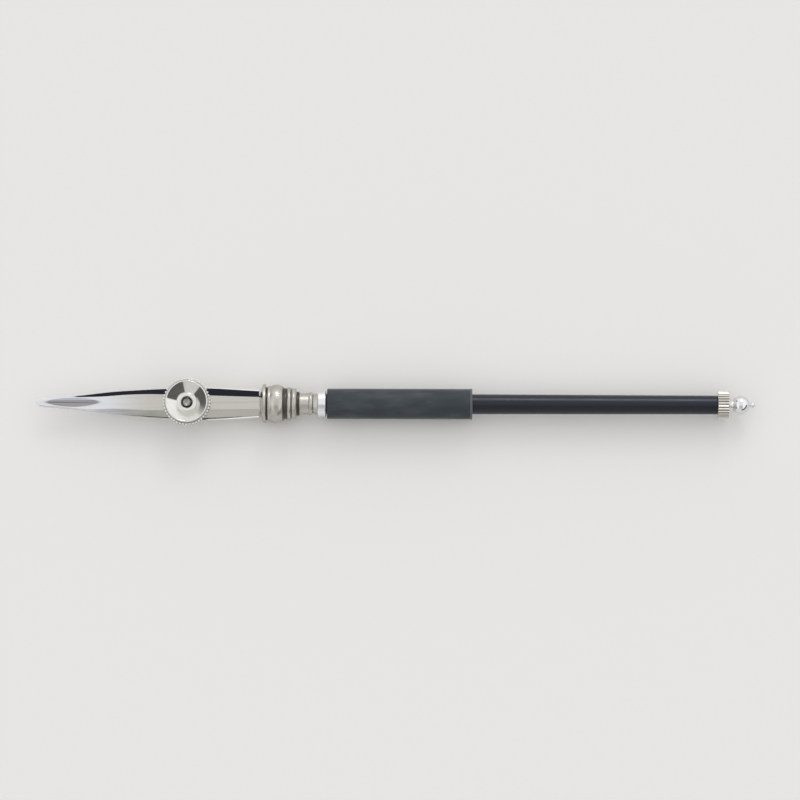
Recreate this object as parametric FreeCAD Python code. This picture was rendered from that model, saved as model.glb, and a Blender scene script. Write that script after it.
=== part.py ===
import FreeCAD, Part
import math
import os

# Ruling pen. Sizes are in millimetres.
# The pen's own frame has X along the axis from the writing tip, Z up through the adjusting nut.
# The finished part is moved so that Z = 0 is the surface it lies on and X = 0 is its middle.

# Blades, seen from above
BLADE_LENGTH = 44.6
NOSE_LENGTH = 2.7
NOSE_HALF_WIDTH = 0.9
NOSE_BLUNT = 0.12
WAIST_X = 8.7
WAIST_HALF_WIDTH = 1.44
SHOULDER_X = 16.7
SHOULDER_HALF_WIDTH = 2.3
WIDEST_X = 32.5
UPPER_WIDEST_HALF_WIDTH = 2.98
LOWER_WIDEST_HALF_WIDTH = 3.3
UPPER_ROOT_HALF_WIDTH = 2.46
LOWER_ROOT_HALF_WIDTH = 2.8

# Flat band along the outside of each blade, between its two bevels
FLAT_START_HALF_WIDTH = 0.25
FLAT_WIDEST_X = 23.7
FLAT_WIDEST_HALF_WIDTH = 1.65
FLAT_ROOT_HALF_WIDTH = 1.2

# Blades, seen from the side
TIP_GAP = 0.4
UPPER_TIP_THICKNESS = 0.2
UPPER_SHOULDER_THICKNESS = 0.55
UPPER_SEAT_THICKNESS = 0.65
UPPER_ROOT_THICKNESS = 0.55
UPPER_BOW = 0.35
LOWER_TIP_THICKNESS = 0.25
LOWER_HOLLOW = 0.75
LOWER_UNDERSIDE = 2.0
LOWER_FLAT_START_X = 20.0
EDGE_SHARE = 0.45
TRIM_DEPTH = 0.05

# Leaf-shaped hollow ground into the outside of the upper blade's nib
GRIND_START_X = 1.6
GRIND_END_X = 13.2
GRIND_DEPTH = 0.07
GRIND_HALF_WIDTH = 0.85

# Tangs and the pins that hold them
TANG_HALF_WIDTH = 1.5
UPPER_TANG_LENGTH = 3.8
LOWER_TANG_LENGTH = 4.4
LOWER_TANG_THICKNESS = 1.15
PIN_RADIUS = 0.45
PIN_HALF_LENGTH = 2.2
PIN_SPACING = 1.4

# Adjusting stud and nut
STUD_X = 30.2
STUD_RADIUS = 1.0
STUD_END_CHAMFER = 0.25
STUD_RECESS = 0.15
STUD_HEAD_RADIUS = 1.6
STUD_HEAD_HEIGHT = 0.6
STUD_SLOT_WIDTH = 0.4
STUD_SLOT_DEPTH = 0.3
BLADE_HOLE_CLEARANCE = 0.45
NUT_SEAT_RADIUS = 2.1
NUT_UNDERCUT = 0.35
NUT_KNURL_RADIUS = 4.78
NUT_KNURL_HEIGHT = 1.25
NUT_TOOTH_DEPTH = 0.3
NUT_TOOTH_COUNT = 44
NUT_SHOULDER = 0.08
NUT_RIM_RADIUS = 4.16
NUT_RIM_WIDTH = 0.16
NUT_HEIGHT = 2.45
NUT_HUB_RADIUS = 1.84
NUT_HUB_HEIGHT = 0.95
NUT_DISH_FLOOR = 0.8
NUT_BORE_CHAMFER = 0.15

# Flange in front of the ferrule
FLANGE_RADIUS = 3.92
FLANGE_DOME = 0.7
FLANGE_DOME_RADIUS = 2.3
FLANGE_RIM = 0.55

# Ferrule
GROOVE_LENGTH = 0.4
GROOVE_RADIUS = 3.3
LIP_LENGTH = 0.5
LIP_RADIUS = 3.5
BARREL_LENGTH = 2.4
BARREL_RADIUS = 3.82
BARREL_PEAK_SHARE = 0.58
COVE_LENGTH = 1.05
COVE_RADIUS = 3.1
RING_LENGTH = 0.6
RING_RADIUS = 3.34
RING_GROOVE_LENGTH = 0.2
RING_GROOVE_DEPTH = 0.2
TAIL_RING_LENGTH = 1.0
TAIL_RING_RADIUS = 3.12

# Shank that carries the blades, the ferrule and the handle
SHANK_RADIUS = 2.4
STEP_LENGTH = 0.6
NECK_LENGTH = 1.8
NECK_RADIUS = 2.12
BEAD_LENGTH = 0.8
BEAD_RADIUS = 2.34
CONE_LENGTH = 1.0
CONE_RADIUS = 1.85
SPIGOT_LENGTH = 4.2

# Handle
COLLAR_LENGTH = 1.7
COLLAR_RADIUS = 2.66
COLLAR_EDGE = 0.15
SLEEVE_GAP = 0.2
SLEEVE_LENGTH = 29.0
SLEEVE_RADIUS = 3.05
SLEEVE_RIM_LENGTH = 0.5
SLEEVE_RIM_HEIGHT = 0.08
ROD_LENGTH = 49.0
TUBE_RADIUS = 2.0
TUBE_TAIL_RADIUS = 1.87
TUBE_BORE = 1.5
TIE_ROD_RADIUS = 0.9
TIE_ROD_FRONT_REACH = 3.2
TIE_ROD_END_GAP = 0.3
BUSH_LENGTH = 4.0

# End nut and finial
END_NUT_LENGTH = 2.2
END_NUT_RADIUS = 2.74
END_NUT_TOOTH_DEPTH = 0.2
END_NUT_TOOTH_COUNT = 28
FINIAL_BASE_RADIUS = 1.4
FINIAL_WAIST_RADIUS = 0.98
FINIAL_WAIST_X = 0.6
BALL_RADIUS = 1.84
BALL_CENTRE_X = 2.4
BALL_SOCKET = 1.9
BUTTON_RADIUS = 0.56
BUTTON_STEM_RADIUS = 0.3
BUTTON_REACH = 0.5

# Clearances
FIT = 0.01
TANG_CLEARANCE = 0.1
SHOULDER_GAP = 0.1
RUNNING = 0.05
NUT_BORE_CLEARANCE = 0.1
SEAT_CLEARANCE = 0.02

# Section counts along a blade, and straight chords along a turned curve
NOSE_SECTIONS = 6
BODY_SECTIONS = 11
SHALLOW_CHORDS = 2
BEAD_CHORDS = 3
BARREL_CHORDS = 5
BALL_CHORDS = 6
HOLLOW_CHORDS = 6

# Places along the axis, worked out from the stack of lengths
FLANGE_FRONT = BLADE_LENGTH + SHOULDER_GAP
FLANGE_BACK = FLANGE_FRONT + FLANGE_DOME + FLANGE_RIM
LIP_START = FLANGE_BACK + GROOVE_LENGTH
BARREL_START = LIP_START + LIP_LENGTH
COVE_START = BARREL_START + BARREL_LENGTH
RING_START = COVE_START + COVE_LENGTH
TAIL_RING_START = RING_START + RING_LENGTH + RING_GROOVE_LENGTH
FERRULE_BACK = TAIL_RING_START + TAIL_RING_LENGTH
NECK_START = FERRULE_BACK + STEP_LENGTH
BEAD_START = NECK_START + NECK_LENGTH
CONE_START = BEAD_START + BEAD_LENGTH
COLLAR_START = CONE_START + CONE_LENGTH
TUBE_START = COLLAR_START + COLLAR_LENGTH
SLEEVE_START = TUBE_START + SLEEVE_GAP
SLEEVE_END = SLEEVE_START + SLEEVE_LENGTH
TUBE_END = SLEEVE_END + ROD_LENGTH
END_NUT_START = TUBE_END + RUNNING
FINIAL_START = END_NUT_START + END_NUT_LENGTH + RUNNING
BALL_CENTRE = FINIAL_START + BALL_CENTRE_X
BUTTON_CENTRE = BALL_CENTRE + BALL_RADIUS + BUTTON_REACH
OVERALL_LENGTH = BUTTON_CENTRE + BUTTON_RADIUS

# Heights that several pieces share
UPPER_SEAT_TOP = UPPER_BOW + UPPER_SEAT_THICKNESS
UPPER_TANG_BOTTOM = TANG_CLEARANCE
UPPER_TANG_TOP = UPPER_TANG_BOTTOM + UPPER_ROOT_THICKNESS
SLOT_TOP = UPPER_TANG_TOP + TANG_CLEARANCE
NUT_BOTTOM = UPPER_SEAT_TOP + SEAT_CLEARANCE
NUT_BORE_RADIUS = STUD_RADIUS + NUT_BORE_CLEARANCE
STUD_TOP = NUT_BOTTOM + NUT_HUB_HEIGHT - STUD_RECESS
TANG_PIVOT_X = BLADE_LENGTH + UPPER_TANG_LENGTH / 2

AXIS_X = FreeCAD.Vector(1, 0, 0)
AXIS_Y = FreeCAD.Vector(0, 1, 0)
AXIS_Z = FreeCAD.Vector(0, 0, 1)
ORIGIN = FreeCAD.Vector(0, 0, 0)
STUD_BASE = FreeCAD.Vector(STUD_X, 0, 0)


class Profile:
    """A closed outline of lines that is turned round an axis. A round stretch is a run of chords.

    Along the pen it holds (x, radius) points, about the stud it holds (z, radius) points.
    """

    def __init__(self, along, radius, about_stud=False):
        self.about_stud = about_stud
        self.first = self.point(along, radius)
        self.last = self.first
        self.edges = []

    def point(self, along, radius):
        if self.about_stud:
            return FreeCAD.Vector(STUD_X + radius, 0, along)
        return FreeCAD.Vector(along, 0, radius)

    def line(self, along, radius):
        end = self.point(along, radius)
        self.edges.append(Part.LineSegment(self.last, end).toShape())
        self.last = end
        return self

    def chords(self, middle, end, count):
        """Follow the arc through middle to end in equal straight chords."""
        whole = Part.Arc(self.last, self.point(*middle), self.point(*end)).toShape()
        for place in whole.discretize(count + 1)[1:]:
            self.edges.append(Part.LineSegment(self.last, place).toShape())
            self.last = place
        return self

    def turned(self):
        self.edges.append(Part.LineSegment(self.last, self.first).toShape())
        face = Part.Face(Part.Wire(self.edges))
        if self.about_stud:
            return face.revolve(STUD_BASE, AXIS_Z, 360)
        return face.revolve(ORIGIN, AXIS_X, 360)


def rod(radius, start, end):
    """A round bar along the pen's axis from one X to another."""
    return Part.makeCylinder(radius, end - start, FreeCAD.Vector(start, 0, 0), AXIS_X)


def post(radius, bottom, top, x=STUD_X):
    """A round bar that stands along Z at a place on the pen's axis."""
    return Part.makeCylinder(radius, top - bottom, FreeCAD.Vector(x, 0, bottom), AXIS_Z)


def block(x_start, x_end, half_width, bottom, top):
    """A box centred on the pen's axis in Y."""
    corner = FreeCAD.Vector(x_start, -half_width, bottom)
    return Part.makeBox(x_end - x_start, 2 * half_width, top - bottom, corner)


def toothed_prism(radius, depth, count, base, axis, height):
    """A prism with V-shaped teeth all round, which a knurled piece is trimmed to."""
    start = AXIS_Y * radius
    points = []
    for tooth in range(count):
        for share, reach in ((0, 1), (0.5, 1 - depth / radius)):
            turn = FreeCAD.Rotation(axis, 360 * (tooth + share) / count)
            points.append(base + turn.multVec(start) * reach)
    face = Part.Face(Part.makePolygon(points + points[:1]))
    return face.extrude(axis * height)


def eased(x, stations):
    """The value at x of a smooth curve through (x, value) stations, level at both ends."""
    if x <= stations[0][0]:
        return stations[0][1]
    if x >= stations[-1][0]:
        return stations[-1][1]
    slopes = [0.0]
    for before, after in zip(stations, stations[2:]):
        slopes.append((after[1] - before[1]) / (after[0] - before[0]))
    slopes.append((stations[-1][1] - stations[-2][1]) / (stations[-1][0] - stations[-2][0]))
    for i, (left, right) in enumerate(zip(stations, stations[1:])):
        if x <= right[0]:
            span = right[0] - left[0]
            t = (x - left[0]) / span
            blend = t * t * (3 - 2 * t)
            lean_out = t * (1 - t) ** 2 * span * slopes[i]
            lean_in = t * t * (t - 1) * span * slopes[i + 1]
            return left[1] * (1 - blend) + right[1] * blend + lean_out + lean_in


def half_width(x, widest, root):
    """Half the width of a blade: a quarter ellipse at the nose, then a smooth leaf."""
    if x < NOSE_LENGTH:
        return max(NOSE_BLUNT, NOSE_HALF_WIDTH * math.sqrt(1 - (1 - x / NOSE_LENGTH) ** 2))
    stations = ((NOSE_LENGTH - WAIST_X, 0), (NOSE_LENGTH, NOSE_HALF_WIDTH), (WAIST_X, WAIST_HALF_WIDTH),
                (SHOULDER_X, SHOULDER_HALF_WIDTH), (WIDEST_X, widest), (BLADE_LENGTH, root))
    return eased(x, stations)


def flat_half_width(x):
    """Half the width of the flat band, which fades out towards the nose."""
    stations = ((0, FLAT_START_HALF_WIDTH), (FLAT_WIDEST_X, FLAT_WIDEST_HALF_WIDTH),
                (BLADE_LENGTH, FLAT_ROOT_HALF_WIDTH))
    return eased(x, stations)


def upper_inside(x):
    """Height of the upper blade's inside face."""
    return eased(x, ((0, TIP_GAP / 2), (STUD_X, UPPER_BOW), (BLADE_LENGTH, UPPER_TANG_BOTTOM)))


def upper_outside(x):
    """Height of the upper blade's flat band."""
    thickness = eased(x, ((0, UPPER_TIP_THICKNESS), (SHOULDER_X, UPPER_SHOULDER_THICKNESS),
                          (STUD_X, UPPER_SEAT_THICKNESS), (BLADE_LENGTH, UPPER_ROOT_THICKNESS)))
    return upper_inside(x) + thickness


def lower_inside(x):
    """Height of the lower blade's inside face, which is hollowed for the ink."""
    return eased(x, ((0, -TIP_GAP / 2), (STUD_X, -LOWER_HOLLOW), (BLADE_LENGTH, 0)))


def lower_outside(x):
    """Height of the lower blade's underside before it is ground flat."""
    tip = -TIP_GAP / 2 - LOWER_TIP_THICKNESS
    deep = -LOWER_UNDERSIDE - TRIM_DEPTH
    return eased(x, ((0, tip), (SHOULDER_X / 2, (tip + deep) / 2), (LOWER_FLAT_START_X, deep),
                     (BLADE_LENGTH, deep)))


def section_places():
    """X places of the sections: close together round the nose, then evenly spaced."""
    places = []
    for step in range(NOSE_SECTIONS + 1):
        places.append(NOSE_LENGTH * (1 - math.cos(math.pi / 2 * step / NOSE_SECTIONS)))
    for step in range(1, BODY_SECTIONS + 1):
        places.append(NOSE_LENGTH + (BLADE_LENGTH - NOSE_LENGTH) * step / BODY_SECTIONS)
    return places


def blade_body(widest, root, inside, outside):
    """A blade lofted through six-sided sections: inside face, two edges, two bevels and a flat."""
    sections = []
    for x in section_places():
        wide = half_width(x, widest, root)
        flat = min(flat_half_width(x), wide / 2)
        edge = inside(x) + (outside(x) - inside(x)) * EDGE_SHARE
        corners = ((-wide, inside(x)), (-wide, edge), (-flat, outside(x)),
                   (flat, outside(x)), (wide, edge), (wide, inside(x)))
        points = [FreeCAD.Vector(x, y, z) for y, z in corners]
        sections.append(Part.makePolygon(points + points[:1]))
    return Part.makeLoft(sections, True, False)


def nib_hollow():
    """The long spindle that grinds the leaf-shaped hollow into the nib.

    Its girth follows from the width and depth of the hollow, as a chord does in a circle.
    """
    half_length = (GRIND_END_X - GRIND_START_X) / 2
    middle_x = (GRIND_END_X + GRIND_START_X) / 2
    girth = GRIND_HALF_WIDTH ** 2 / (2 * GRIND_DEPTH)
    rise = upper_outside(GRIND_END_X) - upper_outside(GRIND_START_X)
    slope = math.degrees(math.atan2(rise, 2 * half_length))
    profile = Profile(-half_length, 0)
    profile.line(-half_length, girth - GRIND_DEPTH)
    profile.chords((0, girth), (half_length, girth - GRIND_DEPTH), HOLLOW_CHORDS)
    profile.line(half_length, 0)
    spindle = profile.turned()
    spindle.rotate(ORIGIN, AXIS_Y, -slope)
    chord_z = (upper_outside(GRIND_START_X) + upper_outside(GRIND_END_X)) / 2
    spindle.translate(FreeCAD.Vector(middle_x, 0, chord_z + girth - GRIND_DEPTH))
    return spindle


def pin_places():
    """X places of the two pins, one at the upper blade's pivot and one behind it."""
    return TANG_PIVOT_X, TANG_PIVOT_X + PIN_SPACING


def pins(clearance=0.0):
    """The two pins, thicker by the clearance where they make holes."""
    posts = []
    for x in pin_places():
        posts.append(post(PIN_RADIUS + clearance, -PIN_HALF_LENGTH, PIN_HALF_LENGTH, x))
    return posts


def make_upper_blade():
    """The springy blade: leaf, hole for the stud and a thin tang that the shank holds."""
    blade = blade_body(UPPER_WIDEST_HALF_WIDTH, UPPER_ROOT_HALF_WIDTH, upper_inside, upper_outside)
    blade = blade.cut(nib_hollow())
    tang_start = BLADE_LENGTH - FLANGE_RIM
    tang_end = BLADE_LENGTH + UPPER_TANG_LENGTH
    tang = block(tang_start, tang_end, TANG_HALF_WIDTH, UPPER_TANG_BOTTOM, UPPER_TANG_TOP)
    tang = tang.cut(block(tang_start, BLADE_LENGTH - FIT, TANG_HALF_WIDTH, UPPER_TANG_BOTTOM, UPPER_TANG_TOP))
    blade = blade.fuse(tang)
    above = block(STUD_X - NUT_SEAT_RADIUS, STUD_X + NUT_SEAT_RADIUS, LOWER_WIDEST_HALF_WIDTH,
                  UPPER_SEAT_TOP, STUD_TOP)
    hole = post(STUD_RADIUS + BLADE_HOLE_CLEARANCE, 0, STUD_TOP)
    return blade.cut([above, hole] + pins(TANG_CLEARANCE)).removeSplitter()


def make_lower_blade():
    """The stiff blade: a little wider, hollowed inside, flat underneath, with a thick tang."""
    blade = blade_body(LOWER_WIDEST_HALF_WIDTH, LOWER_ROOT_HALF_WIDTH, lower_inside, lower_outside)
    underneath = block(0, BLADE_LENGTH + LOWER_TANG_LENGTH, LOWER_WIDEST_HALF_WIDTH,
                       -LOWER_UNDERSIDE - BLADE_LENGTH, -LOWER_UNDERSIDE)
    tang = block(BLADE_LENGTH - FIT, BLADE_LENGTH + LOWER_TANG_LENGTH, TANG_HALF_WIDTH,
                 -LOWER_TANG_THICKNESS, 0)
    return blade.cut(underneath).fuse(tang).cut([stud_body(FIT)] + pins(FIT)).removeSplitter()


def stud_body(clearance=0.0):
    """The stud with its countersunk head, thicker by the clearance where it makes its hole."""
    radius = STUD_RADIUS + clearance
    profile = Profile(-LOWER_UNDERSIDE, 0, about_stud=True)
    profile.line(-LOWER_UNDERSIDE, STUD_HEAD_RADIUS + clearance)
    profile.line(-LOWER_UNDERSIDE + STUD_HEAD_HEIGHT, radius).line(STUD_TOP - STUD_END_CHAMFER, radius)
    profile.line(STUD_TOP, radius - STUD_END_CHAMFER).line(STUD_TOP, 0)
    return profile.turned()


def make_adjusting_stud():
    """The stud: a slotted head flush with the lower blade and a thread that ends inside the nut."""
    slot = block(STUD_X - STUD_HEAD_RADIUS, STUD_X + STUD_HEAD_RADIUS, STUD_SLOT_WIDTH / 2,
                 -LOWER_UNDERSIDE, -LOWER_UNDERSIDE + STUD_SLOT_DEPTH)
    return stud_body().cut(slot)


def make_adjusting_nut():
    """The dished nut: knurled edge, smooth rim, conical dish and a raised hub with the thread."""
    knurl_bottom = NUT_BOTTOM + NUT_UNDERCUT
    knurl_top = knurl_bottom + NUT_KNURL_HEIGHT
    top = NUT_BOTTOM + NUT_HEIGHT
    hub_top = NUT_BOTTOM + NUT_HUB_HEIGHT
    floor = NUT_BOTTOM + NUT_DISH_FLOOR
    shoulder = NUT_KNURL_RADIUS - NUT_TOOTH_DEPTH - NUT_SHOULDER
    beyond = NUT_KNURL_RADIUS + NUT_TOOTH_DEPTH
    profile = Profile(NUT_BOTTOM, NUT_BORE_RADIUS, about_stud=True)
    profile.line(NUT_BOTTOM, NUT_SEAT_RADIUS).line(knurl_bottom, NUT_SEAT_RADIUS)
    profile.line(knurl_bottom, beyond).line(knurl_top, beyond).line(knurl_top, shoulder)
    profile.line(top, NUT_RIM_RADIUS)
    profile.line(top, NUT_RIM_RADIUS - NUT_RIM_WIDTH)
    profile.line(floor, NUT_HUB_RADIUS).line(hub_top, NUT_HUB_RADIUS)
    profile.line(hub_top, NUT_BORE_RADIUS + NUT_BORE_CHAMFER)
    profile.line(hub_top - NUT_BORE_CHAMFER, NUT_BORE_RADIUS)
    base = FreeCAD.Vector(STUD_X, 0, NUT_BOTTOM - NUT_UNDERCUT)
    teeth = toothed_prism(NUT_KNURL_RADIUS, NUT_TOOTH_DEPTH, NUT_TOOTH_COUNT, base, AXIS_Z,
                          NUT_HEIGHT + 2 * NUT_UNDERCUT)
    return profile.turned().common(teeth)


def make_front_flange():
    """The domed disc that closes the ferrule's mouth, with a slot that the tangs pass through."""
    rim_start = FLANGE_FRONT + FLANGE_DOME
    profile = Profile(FLANGE_FRONT, 0)
    profile.line(FLANGE_FRONT, FLANGE_DOME_RADIUS / 2)
    dome_middle = (FLANGE_FRONT + FLANGE_DOME / 3, FLANGE_DOME_RADIUS)
    profile.chords(dome_middle, (rim_start, FLANGE_RADIUS), BEAD_CHORDS)
    profile.line(FLANGE_BACK, FLANGE_RADIUS).line(FLANGE_BACK, 0)
    slot = block(FLANGE_FRONT, FLANGE_BACK, TANG_HALF_WIDTH + TANG_CLEARANCE,
                 -LOWER_TANG_THICKNESS - FIT, SLOT_TOP)
    return profile.turned().cut(slot)


def make_ferrule():
    """The turned baluster ferrule: groove, lip, barrel, cove and two rings."""
    bore = SHANK_RADIUS + FIT
    lip_crest = LIP_RADIUS + LIP_LENGTH / 8
    peak = BARREL_START + BARREL_LENGTH * BARREL_PEAK_SHARE
    cove_middle = COVE_START + COVE_LENGTH / 2
    ring_edge = RING_RADIUS - RING_GROOVE_DEPTH / 2
    ring_end = RING_START + RING_LENGTH
    tail_ring_middle = TAIL_RING_START + TAIL_RING_LENGTH / 2
    tail_edge = SHANK_RADIUS + LIP_LENGTH / 2
    profile = Profile(FLANGE_BACK, bore)
    profile.line(FLANGE_BACK, GROOVE_RADIUS).line(LIP_START, GROOVE_RADIUS)
    profile.chords((LIP_START + LIP_LENGTH / 2, lip_crest), (BARREL_START, LIP_RADIUS), BEAD_CHORDS)
    profile.chords((peak, BARREL_RADIUS), (COVE_START, LIP_RADIUS), BARREL_CHORDS)
    profile.chords((cove_middle, COVE_RADIUS), (RING_START, ring_edge), BEAD_CHORDS)
    profile.chords((RING_START + RING_LENGTH / 2, RING_RADIUS), (ring_end, ring_edge), BEAD_CHORDS)
    profile.line(ring_end, RING_RADIUS - RING_GROOVE_DEPTH)
    profile.line(TAIL_RING_START, RING_RADIUS - RING_GROOVE_DEPTH * 2)
    profile.chords((tail_ring_middle, TAIL_RING_RADIUS), (FERRULE_BACK, tail_edge), BEAD_CHORDS)
    profile.line(FERRULE_BACK, bore)
    return profile.turned()


def make_shank():
    """The shank: slotted for the tangs, with a neck, a bead and a hollow spigot for the handle."""
    bead_middle = BEAD_START + BEAD_LENGTH / 2
    spigot = TUBE_BORE - FIT
    spigot_end = TUBE_START + SPIGOT_LENGTH
    profile = Profile(FLANGE_BACK, 0)
    profile.line(FLANGE_BACK, SHANK_RADIUS).line(NECK_START, SHANK_RADIUS)
    profile.line(NECK_START, NECK_RADIUS).line(BEAD_START, NECK_RADIUS)
    profile.chords((bead_middle, BEAD_RADIUS), (CONE_START, NECK_RADIUS), BEAD_CHORDS)
    profile.line(CONE_START, CONE_RADIUS).line(COLLAR_START, NECK_RADIUS)
    profile.line(COLLAR_START, spigot).line(spigot_end, spigot).line(spigot_end, 0)
    slot = block(FLANGE_BACK, BLADE_LENGTH + LOWER_TANG_LENGTH + TANG_CLEARANCE,
                 TANG_HALF_WIDTH + TANG_CLEARANCE, -LOWER_TANG_THICKNESS - FIT, SLOT_TOP)
    bore = rod(TIE_ROD_RADIUS + FIT, COLLAR_START - TIE_ROD_FRONT_REACH, spigot_end)
    return profile.turned().cut([slot, bore] + pins(FIT))


def make_handle_collar():
    """The plated collar between the shank's cone and the handle."""
    back = TUBE_START
    inside = TUBE_BORE
    profile = Profile(COLLAR_START, inside)
    profile.line(COLLAR_START, COLLAR_RADIUS - COLLAR_EDGE)
    profile.line(COLLAR_START + COLLAR_EDGE, COLLAR_RADIUS).line(back - COLLAR_EDGE, COLLAR_RADIUS)
    profile.line(back, COLLAR_RADIUS - COLLAR_EDGE).line(back, inside)
    return profile.turned()


def make_grip_sleeve():
    """The grip sleeve, with a slightly raised rim at its tail end."""
    rim = SLEEVE_RADIUS + SLEEVE_RIM_HEIGHT
    profile = Profile(SLEEVE_START, TUBE_RADIUS + FIT)
    profile.line(SLEEVE_START, SLEEVE_RADIUS - SLEEVE_RIM_HEIGHT)
    profile.line(SLEEVE_START + SLEEVE_RIM_HEIGHT, SLEEVE_RADIUS)
    profile.line(SLEEVE_END - SLEEVE_RIM_LENGTH, SLEEVE_RADIUS)
    profile.chords((SLEEVE_END - SLEEVE_RIM_LENGTH / 2, rim), (SLEEVE_END, SLEEVE_RADIUS), SHALLOW_CHORDS)
    profile.line(SLEEVE_END, TUBE_RADIUS + FIT)
    return profile.turned()


def ring(x, radius):
    """A smooth ring round the pen's axis for a loft."""
    circle = Part.Circle(FreeCAD.Vector(x, 0, 0), AXIS_X, radius)
    return Part.Wire(circle.toBSpline().toShape())


def make_handle_tube():
    """The slim handle: straight under the sleeve, then a gentle taper lofted down to the tail."""
    taper = Part.makeLoft([ring(SLEEVE_END, TUBE_RADIUS), ring(TUBE_END, TUBE_TAIL_RADIUS)], True, True)
    tube = rod(TUBE_RADIUS, TUBE_START, SLEEVE_END).fuse(taper)
    return tube.cut(rod(TUBE_BORE, TUBE_START, TUBE_END))


def make_tie_rod():
    """The tie rod that runs through the handle from the shank to the finial."""
    return rod(TIE_ROD_RADIUS, COLLAR_START - TIE_ROD_FRONT_REACH, FINIAL_START + BALL_SOCKET - TIE_ROD_END_GAP)


def make_tail_bush():
    """The bush that centres the tie rod in the tail of the handle."""
    bush = rod(TUBE_BORE - FIT, TUBE_END - BUSH_LENGTH, TUBE_END)
    return bush.cut(rod(TIE_ROD_RADIUS + FIT, TUBE_END - BUSH_LENGTH, TUBE_END))


def make_end_nut():
    """The knurled nut on the tie rod that clamps the handle."""
    base = FreeCAD.Vector(END_NUT_START, 0, 0)
    teeth = toothed_prism(END_NUT_RADIUS, END_NUT_TOOTH_DEPTH, END_NUT_TOOTH_COUNT, base, AXIS_X,
                          END_NUT_LENGTH)
    bore = rod(TIE_ROD_RADIUS + RUNNING, END_NUT_START, END_NUT_START + END_NUT_LENGTH)
    return teeth.cut(bore)


def make_finial():
    """The finial: a flared foot, a ball and a small button, with a socket for the tie rod."""
    waist_x = FINIAL_START + FINIAL_WAIST_X
    ball_front = BALL_CENTRE - math.sqrt(BALL_RADIUS ** 2 - FINIAL_WAIST_RADIUS ** 2)
    ball_back = BALL_CENTRE + math.sqrt(BALL_RADIUS ** 2 - BUTTON_STEM_RADIUS ** 2)
    button_front = BUTTON_CENTRE - math.sqrt(BUTTON_RADIUS ** 2 - BUTTON_STEM_RADIUS ** 2)
    lean = BUTTON_RADIUS * math.sqrt(0.5)
    profile = Profile(FINIAL_START, 0)
    profile.line(FINIAL_START, FINIAL_BASE_RADIUS)
    profile.line(min(waist_x, ball_front), FINIAL_WAIST_RADIUS).line(ball_front, FINIAL_WAIST_RADIUS)
    profile.chords((BALL_CENTRE, BALL_RADIUS), (ball_back, BUTTON_STEM_RADIUS), BALL_CHORDS)
    profile.line(button_front, BUTTON_STEM_RADIUS)
    profile.chords((BUTTON_CENTRE + lean, lean), (OVERALL_LENGTH, 0), SHALLOW_CHORDS)
    return profile.turned().cut(rod(TIE_ROD_RADIUS + RUNNING, FINIAL_START, FINIAL_START + BALL_SOCKET))


def save(name, shape):
    """Move a piece from the pen's own frame to the part's frame and write it as a STEP file."""
    shape.translate(FreeCAD.Vector(-OVERALL_LENGTH / 2, 0, FLANGE_RADIUS))
    shape.exportStep("parts/" + name + ".step")
    print(name, "valid" if shape.isValid() else "NOT VALID", len(shape.Solids), round(shape.Volume, 3))


def main():
    os.makedirs("parts", exist_ok=True)
    save("upper_blade", make_upper_blade())
    save("lower_blade", make_lower_blade())
    save("adjusting_stud", make_adjusting_stud())
    save("adjusting_nut", make_adjusting_nut())
    save("front_flange", make_front_flange())
    save("ferrule", make_ferrule())
    save("slotted_shank", make_shank())
    save("blade_pins", Part.makeCompound(pins()))
    save("handle_collar", make_handle_collar())
    save("grip_sleeve", make_grip_sleeve())
    save("handle_tube", make_handle_tube())
    save("tie_rod", make_tie_rod())
    save("tail_bush", make_tail_bush())
    save("end_nut", make_end_nut())
    save("finial", make_finial())
    print("tip", round(-OVERALL_LENGTH / 2, 3), "pivot", round(TANG_PIVOT_X - OVERALL_LENGTH / 2, 3),
          "stud", round(STUD_X - OVERALL_LENGTH / 2, 3), "length", round(OVERALL_LENGTH, 3))


main()
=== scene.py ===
"""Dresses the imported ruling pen: smooth turned and ground surfaces, worked metals and a small studio.

Shapes are worked out in the pen's own millimetres: X along the axis from the writing tip, Z up
through the adjusting nut, with the axis at Z = 0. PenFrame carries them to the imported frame.
"""

import logging
import math
from dataclasses import dataclass
from enum import Enum
from typing import Callable, Optional, Sequence, Union

import bmesh
import bpy
import numpy as np
from mathutils import Matrix, Vector


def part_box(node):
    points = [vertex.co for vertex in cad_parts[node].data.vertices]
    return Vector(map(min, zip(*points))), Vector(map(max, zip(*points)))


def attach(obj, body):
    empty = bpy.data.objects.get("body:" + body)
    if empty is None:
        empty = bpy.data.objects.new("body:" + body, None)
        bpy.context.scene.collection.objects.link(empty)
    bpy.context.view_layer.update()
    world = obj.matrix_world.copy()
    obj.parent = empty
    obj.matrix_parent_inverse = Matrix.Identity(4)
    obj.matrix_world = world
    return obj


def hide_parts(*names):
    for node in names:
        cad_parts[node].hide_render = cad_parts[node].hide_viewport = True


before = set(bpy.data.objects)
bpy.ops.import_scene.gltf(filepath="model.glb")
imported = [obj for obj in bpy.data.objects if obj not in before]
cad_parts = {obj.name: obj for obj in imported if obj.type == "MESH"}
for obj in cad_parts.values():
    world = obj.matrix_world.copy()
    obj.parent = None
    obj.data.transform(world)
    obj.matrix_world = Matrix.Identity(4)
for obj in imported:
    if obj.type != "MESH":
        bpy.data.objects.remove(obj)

LOG = logging.getLogger("ruling_pen")
MM = 0.001
FULL_TURN = 2 * math.pi
MERGE_DISTANCE = 1e-7
SHARP_ANGLE = math.radians(50)

# Roundings of corners, in millimetres, from a hair to a broad one.
HAIR = 0.02
CRISP = 0.03
EDGE = 0.04
SOFT = 0.05
EASY = 0.06
BROAD = 0.1
# How far support points stand off a rounding, in millimetres.
SUPPORT = 0.02
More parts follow.
